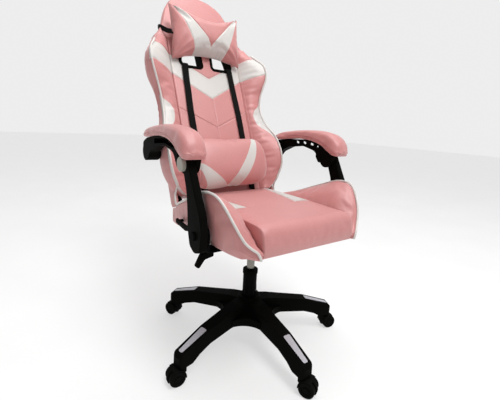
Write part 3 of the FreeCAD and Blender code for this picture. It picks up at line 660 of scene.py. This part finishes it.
ZINC = plastic("zinc", (0.50, 0.50, 0.51), (0.28, 0.42), 1200.0, 0.15, 1.15, 1.0)
INSERT = hatched("insert_film")
NYLON = plastic("wheel_nylon", (0.006, 0.006, 0.0055), (0.35, 0.5), 700.0, 0.2, 1.8, gleam=0.05)
CAP = plastic("cap_grey", (0.36, 0.34, 0.29), (0.4, 0.5), 900.0, 0.2, 1.1)
PLY = wood("birch_ply")

FINISH = {
    "black_plastic": BLACK, "black_steel": STEEL_BLACK, "cylinder_black": LACQUER, "chrome_steel": CHROME,
    "steel": ZINC, "insert_silver": INSERT, "wheel_black": NYLON, "cap_grey": CAP, "pink_leather": PINK,
    "white_leather": WELT, "webbing_black": STRAP, "plywood": PLY,
}
for part in frame["record"]["subparts"]:
    mesh = frame["nodes"][part["node"]].data
    mesh.materials.clear()
    mesh.materials.append(FINISH[part["material_slot"]])


def add(obj, body, replaced=()):
    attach(obj, body)
    if replaced:
        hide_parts(*replaced)


# ---- camera and studio ----
def camera():
    data = bpy.data.cameras.new("camera")
    data.sensor_width = 36.0
    data.lens = 23.55
    obj = bpy.data.objects.new("camera", data)
    bpy.context.scene.collection.objects.link(obj)
    yaw, pitch, roll = (math.radians(v) for v in (-35.305, 13.313, 3.07))
    spot = (-0.6421, -0.8810, 0.7795)
    back = np.array((math.sin(yaw) * math.cos(pitch), -math.cos(yaw) * math.cos(pitch), math.sin(pitch)))
    right = np.array((math.cos(yaw), math.sin(yaw), 0))
    up = np.cross(back, right)
    x = math.cos(roll) * right + math.sin(roll) * up
    y = -math.sin(roll) * right + math.cos(roll) * up
    obj.matrix_world = Matrix([(x[k], y[k], back[k], spot[k]) for k in range(3)] + [(0, 0, 0, 1)])
    bpy.context.scene.camera = obj


def area_light(name, spot, aim, size, power):
    data = bpy.data.lights.new(name, "AREA")
    data.shape = "DISK"
    data.size, data.energy = size, power
    obj = bpy.data.objects.new(name, data)
    obj.location = spot
    obj.rotation_mode = "QUATERNION"
    obj.rotation_quaternion = (Vector(aim) - Vector(spot)).to_track_quat("-Z", "Y")
    bpy.context.scene.collection.objects.link(obj)


def studio():
    world = bpy.data.worlds.new("studio")
    world.use_nodes = True
    nodes, links = world.node_tree.nodes, world.node_tree.links
    toward = node(nodes, "ShaderNodeVectorMath", operation="DOT_PRODUCT")
    links.new(node(nodes, "ShaderNodeTexCoord").outputs["Generated"], toward.inputs[0])
    toward.inputs[1].default_value = (0.577, 0.816, 0.0)
    dome = ramp(nodes, links, toward.outputs["Value"], ((0.05, grey(0.30)), (0.68, grey(0.85))))
    links.new(dome.outputs["Color"], nodes["Background"].inputs["Color"])
    nodes["Background"].inputs["Strength"].default_value = 1.0
    bpy.context.scene.world = world
    area_light("key", (0.1, -1.55, 3.3), (0, 0, 0.6), 1.3, 60)
    area_light("fill", (2.4, -1.6, 1.6), (0, 0, 0.6), 1.8, 5)
    area_light("top", (0.1, 0.1, 3.0), (0, 0.0, 0.5), 1.6, 26)
    material, nodes, links, shader = new_material("floor_paper")
    mottle = node(nodes, "ShaderNodeTexNoise", Scale=3.0, Detail=2.0)
    mapped(nodes, links, mottle)
    coloured(nodes, links, mottle.outputs["Fac"], ((0.3, grey(0.42)), (0.7, grey(0.45))), shader)
    shader.inputs["Roughness"].default_value = 0.85
    shader.inputs["Emission Color"].default_value = grey(1.0)
    shader.inputs["Emission Strength"].default_value = 0.55
    size, level = 14.0, -0.0005
    corners = [(x * size, y * size, level) for x, y in ((-1, -1), (1, -1), (1, 1), (-1, 1))]
    floor = mesh_object("floor", corners, [(0, 1, 2, 3)], [material])
    view = bpy.context.scene.view_settings
    view.view_transform = "Standard"
    view.look = "None"


# ---- backrest ----
def wing_half(z):
    return spline(WINGS, z, 1)


def wing_reach(z):
    return spline(WINGS, z, 2)


def bolster(side):
    rows = []
    for z in np.concatenate((np.arange(FOOT + 3, SHOULDER - 8, 6.0), (SHOULDER - 6, SHOULDER - 2))):
        half, tip = float(wing_half(z)) - 1.0, FRONT - float(wing_reach(z))
        heel = max(float(spline(WINGS, z, 3)), tip + 24)
        gather = 1.1 * math.sin(z / 4.1) * math.sin(z / 23.0 + side)
        section = ring([
            (SEAM_X + 0.5, MID - 0.5, 2, 2, 0), (SEAM_X + 0.5, FRONT + 1, 5, 15, 5.0 + gather),
            (half - 10, tip + 1, 11, 1, 0.5), (half, tip + 17, 11, 7, 2.5 - gather),
            (half, heel - 0.6, 5, 4, 0), (min(half, SHELL_HALF) - 3, MID - 0.5, 3, 5, 0),
        ])
        rows.append(at_height(section, z, side))
    return loft("bolster_" + WORD[side], rows, back_to_row, [PINK, WHITE], (4.0, 2.0))


def centre_panel():
    rows = []
    body = np.concatenate(((FOOT + 3,), np.arange(FOOT + 8, SHOULDER - 4, 6.0), (SHOULDER - 1.5,)))
    crown = (820, 826, 831, 835.5, 839, 842, 844)
    head = np.concatenate(((SHOULDER + 1.0,), np.arange(SHOULDER + 6, 815, 6.0), crown))
    for z in np.concatenate((body, head)):
        half = SEAM_X - 0.5 if z < SHOULDER else float(spline(HEAD, z, 1)) + 2.0
        edge = 5 if z < SHOULDER else 11
        columns = 41
        section = ring([
            (-half, MID - 0.5, 3, columns, 0), (half, MID - 0.5, 3, 2, 0), (half, FRONT, edge, columns, 3.0),
            (-half, FRONT, edge, 2, 0),
        ])
        rows.append(at_height(section, z))
    return loft("centre_panel", rows, back_to_row, [PINK, WHITE], (4.0, 1.5))


def rear_cover():
    rows = []
    for z in np.concatenate((np.arange(FOOT + 3, 812, 9.0), (820, 828, 834, 838, 841))):
        if z < SHOULDER:
            half = min(float(wing_half(max(z, 100))), SHELL_HALF) - 3
        else:
            half = float(spline(HEAD, z, 1)) - 1
        section = ring([
            (-half, MID + 0.5, 2, 20, 0), (half, MID + 0.5, 2, 4, 2.0), (half - 9, REAR - 1, 12, 24, 2.0),
            (-half + 9, REAR - 1, 12, 4, 2.0),
        ])
        rows.append(at_height(section, z))
    return loft("rear_cover", rows, back_to_row, [PINK, WHITE], (3.0, 1.5))


def back_flap(side):
    """Flat lower corner of the backrest's side, hanging outside the seat."""
    rows = []
    for z in (-2, 0, 4, 12, 24, 40, 60, 80, 100, 120, 140):
        rear = (37 if z > 8 else 32 + z * 0.6) - 3 * (max(z - 60, 0) / 80) ** 2
        inner, outer, ahead = 206.8, 217, -13
        section = ring([(inner, ahead, 2, 3, 0), (outer, ahead, 4, 7, 0.6), (outer, rear, 6, 3, 0),
                        (inner, rear, 3, 7, 0)])
        rows.append(at_height(section, z, side))
    return loft("back_flap_" + WORD[side], rows, back_to_row, [PINK], (1.5, 1.0))


def prism(name, outline, front, side=1):
    """Cutter through the backrest from a given depth to well behind it."""
    rows = [np.column_stack((side * outline[:, 0], np.full(len(outline), y), outline[:, 1]))
            for y in (front, 100.0)]
    return loft(name, rows, back_to_row, [PINK], (1.0, 1.0))


def hole_prism(side):
    outline = ring([(x, z, r, 3, 0) for x, z, r in HOLE])
    middle = outline.mean(0)
    return prism("hole_prism", middle + (outline - middle) * 1.075, -60.0, side)


def recess_prism():
    outline = ring([(-124, 518, 10, 9, 0), (124, 518, 10, 5, 0), (112, 640, 10, 9, 0), (-112, 640, 10, 5, 0)])
    return prism("recess_prism", outline, RECESS_FLOOR + 1)


def shaft_prism():
    """Bore for the recline lever's shaft through the seat's right wing."""
    turns = np.arange(24) * 2 * math.pi / 24
    y, z = LEVER_Y + LEVER_BORE * np.cos(turns), LEVER_Z + LEVER_BORE * np.sin(turns)
    rows = [np.column_stack((np.full(24, x), y, z)) for x in (-200.0, -275.0)]
    return loft("shaft_prism", rows, row, [PINK], (1.0, 1.0))


def carve(obj, cutters):
    for cutter in cutters:
        boolean = obj.modifiers.new("hole", "BOOLEAN")
        boolean.operation, boolean.solver, boolean.object = "DIFFERENCE", "EXACT", cutter
    graph = bpy.context.evaluated_depsgraph_get()
    graph.update()
    mesh = bpy.data.meshes.new_from_object(obj.evaluated_get(graph))
    obj.modifiers.clear()
    obj.data = mesh
    mesh.shade_smooth()


# Pattern lines on the front of the backrest, as signed distances in mm.
def above(p, line):
    middle, rise, outer_rise, cosine = line
    across = np.abs(p[:, 0])
    return (p[:, 2] - middle - rise * np.minimum(across, SEAM_X)
            - outer_rise * np.maximum(across - SEAM_X, 0)) * cosine


def chevron_top(p):
    return above(p, TOP_LINE)


def chevron_foot(p):
    return above(p, FOOT_LINE)


def inner_seam(p):
    return np.where((p[:, 2] < 404) & (p[:, 1] < 0), p[:, 0], np.nan)


def v_seam(p):
    return np.where((np.abs(p[:, 0]) < SEAM_X - 1) & (p[:, 1] < 0), above(p, V_LINE), np.nan)


def waist_patch(p):
    """Positive inside the white patch that lies against the welt at the waist."""
    z = p[:, 2]
    depth = spline(WAIST, z, 1)
    inside = np.abs(p[:, 0]) - (wing_half(z) - depth - 3)
    return np.where((z > 30) & (z < 402) & (p[:, 1] < -8), inside, np.nan)


def on_face(p):
    """True ahead of the welt line, so that a pattern stops there."""
    return np.abs(p[:, 0]) < wing_half(p[:, 2]) - 3.5


def finish_back(panel, left, right, cover):
    def pattern(bm):
        for f in (chevron_top, chevron_foot):
            groove(bm, row_to_back, f, 2.4, 1.4)
            cut(bm, row_to_back, f)

    def panel_steps(bm):
        pattern(bm)
        groove(bm, row_to_back, v_seam, 2.4, 1.5)
        groove(bm, row_to_back, inner_seam, 2.4, 1.5)

    def bolster_steps(bm):
        pattern(bm)
        cut(bm, row_to_back, waist_patch)

    def white(p, n):
        return (chevron_top(p) < 0) & (chevron_foot(p) > 0) & (p[:, 1] < FRONT + 9)

    edit(panel, panel_steps)
    paint(panel, row_to_back, [(1, white)])
    for piece in (left, right):
        edit(piece, bolster_steps)
        paint(piece, row_to_back, [
            (1, lambda p, n: white(p, n) & on_face(p)),
            (1, lambda p, n: (waist_patch(p) > 0) & on_face(p)),
        ])
    edit(cover, lambda bm: [groove(bm, row_to_back, f, 3.0, 2.0) for f in (
        lambda p: np.where(p[:, 1] > 30, np.abs(p[:, 0]) - 132, np.nan),
        lambda p: np.where(p[:, 1] > 30, p[:, 2] - 655, np.nan),
        lambda p: np.where((p[:, 1] > 30) & (np.abs(p[:, 0]) < 131), p[:, 2] - 330, np.nan),
    )])


def back_welt():
    half = [(float(wing_half(z)) - 6.5, FRONT - float(wing_reach(z)) + 2.0, z)
            for z in (64, 78, 98, 125, 160, 200, 240, 290, 330, 366, 410, 450, 490, 520, 550, 584, 606)]
    flap = [(208, -14, -4.5), (214, -14.5, -3), (217.5, -15, 3), (217.5, -15, 18), (217, -18, 34),
            (215, -32, 49)]
    half = flap + half
    line = [(-x, y, z) for x, y, z in half]
    return [tube("back_welt_" + word, dense(points), 3.6, back_to_row, [WELT])
            for word, points in (("right", line), ("left", half))]


def lumbar_webbing(side):
    """Endless strap: down the front, under the backrest, up the back and through the harness hole."""
    ahead, behind = FRONT - 7.0, REAR + 6
    line = [(side * x, y, z) for x, y, z in (
        (98, FRONT - 9.0, 520), (100, ahead, 480), (102, ahead, 420), (105, ahead, 353),
        (105, ahead, 243), (105, ahead, 140), (105, ahead, 60), (105, FRONT - 5.0, 28),
        (105, FRONT + 6, 17), (104, 18, 15), (103, REAR - 6, 17), (102, REAR + 5, 27), (101, behind, 60),
        (100, behind, 160), (99, behind, 300), (98, behind, 430), (97, behind, 500), (96, REAR + 4, 517),
        (96, REAR - 8, 531), (96, RECESS_FLOOR + 10, 541), (96, RECESS_FLOOR + 3, 543),
        (96, FRONT + 4, 542.5),
        (96, FRONT - 6, 541.5), (97, FRONT - 9.5, 534),
    )]
    return band("lumbar_strap_" + WORD[side], dense(line, 6.0, True), (1, 0, 0), 25.0, 1.6,
                back_to_row, [STRAP], True)


# ---- seat ----
def seat_cushion():
    rows = []
    for x in np.concatenate(((-167.5, -165, -161), np.arange(-156, 157, 8.0), (161, 165, 167.5))):
        lift = 1.0 * (1 - (abs(x) / CUSHION_HALF) ** 2)
        drop = 2.5 * (abs(x) / CUSHION_HALF) ** 16
        section = ring([
            (SEAT_FRONT + 3, SEAT_SOLE + 0.5, 4, 2, 0), (SEAT_FRONT + 11, SEAT_SOLE + 0.5, 2, 2, 0),
            (SEAT_FRONT + 11, CUSHION_SOLE + 0.5, 1, 43, 0), (SEAT_REAR - 1, CUSHION_SOLE + 1, 5, 7, 0),
            (SEAT_REAR - 1, CUSHION_TOP - 4 - drop, 12, 45, lift + 2.0),
            (SEAT_FRONT + 2, CUSHION_TOP - 3 - drop, 34, 5, 4.0),
        ])
        rows.append(np.column_stack((np.full(len(section), x), section)))
    return loft("seat_cushion_cover", rows, row, [PINK, WHITE], (0.5, 0.5))


def seat_wing(side):
    rows = []
    stations = np.concatenate(((-283.0, -279.0, -275.0), np.arange(-270, 152, 6.0), (156.0,)))
    for y in stations:
        foot, crest, high, inner = (float(spline(SEAT_WINGS, y, k)) for k in (1, 2, 3, 4))
        low = SEAT_SOLE - 1 - 15 * float(np.clip((y - 20) / 100, 0, 1))
        body = y < TAIL_Y
        inside = WING_INNER if body else TAIL_INNER
        corner = 12 if y < 100 else 6
        gather = 0.8 * math.sin(y / 4.3) * math.sin(y / 17.0)
        fullness = 6.0 - 4.0 * float(np.clip((y + 150) / 50, 0, 1))
        fullness = fullness - 1.5 * float(np.clip((y - 40) / 90, 0, 1))
        if foot > 212:
            section = ring([
                (inside, SEAT_SOLE + 1, 2, 4, 0), (207, SEAT_SOLE + 1, 1, 1, 0), (207.5, low, 1, 2, 0),
                (foot, low, corner, 14, fullness + gather), (crest, high - 2, 6, 1, 0),
                (max(crest - 12, inside + 4), high - 1, 7, 14, 7.0 if body else 0.5),
                (inside, inner - (0 if body else 4), 5, 4, 0),
            ])
        else:
            section = ring([
                (inside, SEAT_SOLE + 1, 2, 4, 0), (174, SEAT_SOLE + 0.5, 1, 1, 0), (176, SEAT_SOLE, 1, 2, 0),
                (foot, low, 12, 14, 6.0), (crest, high - 2, 6, 1, 0), (crest - 12, high - 1, 7, 14, 7.0),
                (inside, inner, 5, 4, 0),
            ])
        rows.append(np.column_stack((side * section[:, 0], np.full(len(section), y), section[:, 1])))
    return loft("seat_wing_cover_" + WORD[side], rows, row, [PINK, WHITE], (2.0, 2.0))


def seat_welt(side):
    line = [(side * 178, -288, 448), (side * 181, -288, 456)]
    for y in (-284, -276, -266, -257, -248, -238, -228, -216, -205, -182, -157, -110, -65, -20, 30, 65, 96):
        crest, high = float(spline(SEAT_WINGS, y, 2)), float(spline(SEAT_WINGS, y, 3))
        line.append((side * (crest + 0.8), y - 1, high + 0.5))
    return tube("seat_welt_" + WORD[side], dense(line), 3.5, row, [WELT])


def cushion_panel(p):
    """Positive in the white panel beside each edge of the seat's top."""
    line = PATCH_X + (p[:, 1] - PATCH_Y) * PATCH_SLOPE
    return np.where((p[:, 2] > 500) & (p[:, 1] > -120), np.abs(p[:, 0]) - line, np.nan)


def cushion_panel_front(p):
    return np.where((p[:, 2] > 500) & (np.abs(p[:, 0]) > 70), p[:, 1] - PATCH_Y, np.nan)


# ---- arm pads ----
def arm_pad(side):
    rows = []
    for y in np.concatenate(((-125.5, -124, -121), np.arange(-117, 214, 6.0), (217, 221, 223))):
        sole, top, half = (float(spline(PAD, y, k)) for k in (1, 2, 3))
        section = ring([
            (-half, sole + 1, 7, 8, 0), (half, sole + 1, 7, 3, 3.0), (half - 2, top, 24, 6, 2.0),
            (-half + 2, top, 24, 3, 3.0),
        ])
        x = side * (ARM_X + section[:, 0])
        rows.append(np.column_stack((x, np.full(len(section), y), section[:, 1])))
    return loft("arm_pad_cover_" + WORD[side], rows, row, [PINK, WHITE], (3.0, 2.0))


def pad_seam(p):
    """Zero along the pad's seam, which runs off the sole before the rounded front."""
    return p[:, 2] - spline(PAD, p[:, 1], 1) - 12 + 1.2 * np.clip(-80 - p[:, 1], 0, None)


# ---- pillows ----
def head_pillow():
    """Bow-tie pillow: two faces sewn round the rim, pinched at the corners."""
    across, high = 65, 49
    points, faces = [], []
    for face in (1, -1):
        for j in range(high):
            v = -1 + 2 * j / (high - 1)
            for i in range(across):
                u = -1 + 2 * i / (across - 1)
                share = abs(u)
                x = u * (138.5 + 6 * v * v) - 2
                top = 700 + 38 * share ** 2.2
                foot = 572 - 25 * share ** 2.0
                z = foot + (top - foot) * (v + 1) / 2
                thick = (1 - u ** 4) ** 0.5 * (1 - v ** 4) ** 0.5
                corner = math.hypot(1 - share, 1 - abs(v))
                around = math.atan2(1 - abs(v), 1 - share + 1e-6)
                thick *= 1 + 0.2 * math.exp(-(corner / 0.55) ** 2) * math.sin(11 * around + u)
                core = -32 - 0.25 * (z - 548)
                y = core - 42 * thick if face > 0 else min(core + 24 * thick, FRONT - 4.0)
                points.append((x, y, z))
    count = across * high
    for face in (0, 1):
        for j in range(high - 1):
            for i in range(across - 1):
                a = face * count + j * across + i
                b = a + across
                faces.append((a, a + 1, b + 1, b) if face == 0 else (a, b, b + 1, a + 1))
    return mesh_object("head_pillow_cover", back_to_row(points), faces, [PINK, WHITE])


def lumbar_pillow():
    """Fat roll whose lower edge rises towards the sitter's left."""
    rows = []
    for x in np.concatenate(((-154, -151, -147, -142), np.arange(-136, 137, 8.0), (142, 147, 151, 154))):
        share = abs(x) / 158
        size = (1 - share ** 9) ** 0.4 * (1 - 0.03 * share ** 2)
        turns = np.arange(56) * 2 * math.pi / 56
        rise = 0.05 * (x + 154)
        wide, tall = 48.5 * size, (93.5 - 0.4 * rise) * size
        c, s = np.cos(turns), np.sin(turns)
        y = FRONT - 58 + wide * np.sign(c) * np.abs(c) ** 0.86
        z = 123 + 0.6 * rise + tall * np.sign(s) * np.abs(s) ** 0.8
        rows.append(np.column_stack((np.full(56, x * 0.945 - 8.5), y, z)))
    return loft("lumbar_pillow_cover", rows, back_to_row, [PINK, WHITE], (5.0, 5.0))


def pillow_band_inner(p):
    """Line from the top corners of the head pillow down to the middle."""
    return (p[:, 2] - 594 - 1.02 * np.abs(p[:, 0])) * 0.70


def pillow_band_outer(p):
    """Line from the top corners curving down to the bottom edge."""
    drop = np.clip((738 - p[:, 2]) / 170, 0, 1.2)
    return np.abs(p[:, 0]) - (141 - 76 * drop ** 0.9)


def lumbar_strip(p):
    """Negative inside the white V of the lumbar pillow, which hangs a little to one side."""
    z = p[:, 2]
    right_in, right_out, left_in, left_out = (spline(LUMBAR_V, z, k) for k in (1, 2, 3, 4))
    right = np.maximum(right_in - p[:, 0], p[:, 0] - right_out)
    left = np.maximum(p[:, 0] - left_in, left_out - p[:, 0])
    return np.minimum(right, left)


def head_webbing():
    """Elastic round the head: level behind it, sloping down to the pillow's sides in front."""
    line = []
    for side, sag in ((-1, 22), (1, 0)):
        run = [(side * x, y, z - sag * slack) for x, y, z, slack in (
            (128, -58, 657, 1), (141, -53, 664, 1), (153, -36, 675, 0.9), (163, -20, 685, 0.5),
            (168, -6, 691, 0.15), (166.5, 8, 695, 0), (159, REAR - 14, 698, 0),
            (147, REAR + 1, 700, 0), (126, REAR + 5.5, 700, 0),
            (70, REAR + 6.5, 700, 0))]
        line += run if side < 0 else [(0, REAR + 7, 700)] + run[::-1]
    return band("head_elastic", dense(line, 5.0), (0, 0, 1), 17.0, 1.6, back_to_row, [STRAP])


def back_threads(lines, obj):
    into = (0, math.cos(LEAN), -math.sin(LEAN))
    return stitches("back_stitches", obj, lines, into, back_to_row, THREAD)


def panel_seams():
    lines = []
    for side in (1, -1):
        for foot, rise, _, _ in (TOP_LINE, FOOT_LINE, V_LINE):
            for away in (-4.5, 4.5):
                lines.append([(side * x, FRONT, foot + away + rise * x) for x in (5, 40, 75, 110, 144)])
        lines.append([(side * 4.5, FRONT, z) for z in (228, 280, 340, 398)])
        lines.append([(side * (SEAM_X - 7), FRONT, z) for z in (228, 320, 420, 520, 632)])
    return lines


def wing_seams(side):
    lines = []
    for middle, inner_rise, rise, _ in (TOP_LINE, FOOT_LINE):
        foot = middle + inner_rise * SEAM_X
        for away in (-4.5, 4.5):
            lines.append([(side * x, FRONT, foot + away + rise * (x - SEAM_X)) for x in (156, 172, 190, 208)])
    lines.append([(side * (SEAM_X + 7), FRONT, z) for z in (60, 160, 260, 360, 460, 560, 630)])
    return lines


def cushion_seams():
    lines = []
    for side in (1, -1):
        for away in (-4, 4):
            lines.append([(side * (PATCH_X + away + (y - PATCH_Y) * PATCH_SLOPE), y, 520)
                          for y in (-92, -20, 60, 138)])
            lines.append([(side * x, PATCH_Y + away, 520) for x in (104, 120, 140, 158)])
    return lines


# ---- mechanism ----
def tilt_coil():
    low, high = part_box("tilt_spring")
    middle = (low + high) / 2 / MM
    height = (high[2] - low[2]) / MM - 4
    turns = 7
    at = np.linspace(0, 1, turns * 24)
    angle, radius = at * turns * 2 * math.pi, 13
    line = np.column_stack((middle[0] + radius * np.cos(angle), middle[1] + radius * np.sin(angle),
                            low[2] / MM + 2 + at * height))
    return tube("tilt_coil", line, 1.7, row, [ZINC], 8)


# ---- build ----
camera()
studio()

panel = centre_panel()
bolsters = {1: bolster(1), -1: bolster(-1)}
cover = rear_cover()
cushion = seat_cushion()
wings = {1: seat_wing(1), -1: seat_wing(-1)}
pads = {1: arm_pad(1), -1: arm_pad(-1)}
pillow = head_pillow()
roll = lumbar_pillow()

for piece in bolsters.values():
    puff(piece, hold_back, 3.0, 5.0, 0.01)
puff(cushion, hold_cushion, 3.0, 2.5, 0.01)
for piece in wings.values():
    puff(piece, hold_wing, 3.0, 6.0, 0.015)
for piece in pads.values():
    puff(piece, hold_pad, 2.5, 4.0, 0.01)
puff(pillow, hold_head_pillow, 4.0, 12.0, 0.05, 0.3)
puff(roll, hold_lumbar, 4.0, 6.0, 0.02, 0.4)
simulate()

prisms = [hole_prism(1), hole_prism(-1), recess_prism()]
carve(panel, prisms[:2])
carve(cover, prisms)
prisms.append(shaft_prism())
carve(wings[-1], prisms[-1:])
for cutter in prisms:
    bpy.data.objects.remove(cutter)
finish_back(panel, bolsters[1], bolsters[-1], cover)

edit(cushion, lambda bm: [groove(bm, row_to_mm, f, 2.4, 1.4) or cut(bm, row_to_mm, f)
                          for f in (cushion_panel, cushion_panel_front)])
paint(cushion, row_to_mm, [(1, lambda p, n: (cushion_panel(p) > 0) & (p[:, 1] > -97) & (n[:, 2] > 0.5))])
edit(pillow, lambda bm: [groove(bm, row_to_back, f, 2.4, 1.4) or cut(bm, row_to_back, f)
                         for f in (pillow_band_inner, pillow_band_outer)])
paint(pillow, row_to_back, [
    (1, lambda p, n: (pillow_band_inner(p) < 0) & (pillow_band_outer(p) < 0) & (n[:, 1] < 0.2))])
edit(roll, lambda bm: [cut(bm, row_to_back, lumbar_strip),
                       groove(bm, row_to_back, lambda p: np.abs(p[:, 0]) - 149, 2.4, 1.6)])
paint(roll, row_to_back, [(1, lambda p, n: (lumbar_strip(p) < 0) & (p[:, 1] < FRONT - 40))])

for piece in pads.values():
    edit(piece, lambda bm: groove(bm, row_to_mm, pad_seam, 2.4, 1.3))

add(panel, "back", ("back_cushion",))
for side, word in WORD.items():
    add(bolsters[side], "back", ("back_bolster_" + word,))
add(cover, "back", ("back_cover",))
for piece in back_welt():
    add(piece, "back", ("back_piping",))
for side in (1, -1):
    add(back_flap(side), "back", ("back_cover",))
for side in (1, -1):
    add(lumbar_webbing(side), "back", ("lumbar_straps",))
add(cushion, "seat", ("seat_cushion",))
for side, word in WORD.items():
    add(wings[side], "seat", ("seat_wing_" + word,))
    add(seat_welt(side), "seat", ("seat_piping",))
    add(pads[side], "arm_" + word, ("arm_pad_" + word,))
add(pillow, "head_pillow", ("head_pillow",))
add(head_webbing(), "head_pillow", ("head_strap",))
add(roll, "lumbar_pillow", ("lumbar_pillow",))
add(back_threads(panel_seams(), panel), "back")
for side in (1, -1):
    add(back_threads(wing_seams(side), bolsters[side]), "back")
threads = stitches("seat_stitches", cushion, cushion_seams(), (0, 0, -1), row, THREAD)
add(threads, "seat")
coil = tilt_coil()
add(coil, "lift", ("tilt_spring",))
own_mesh(coil)
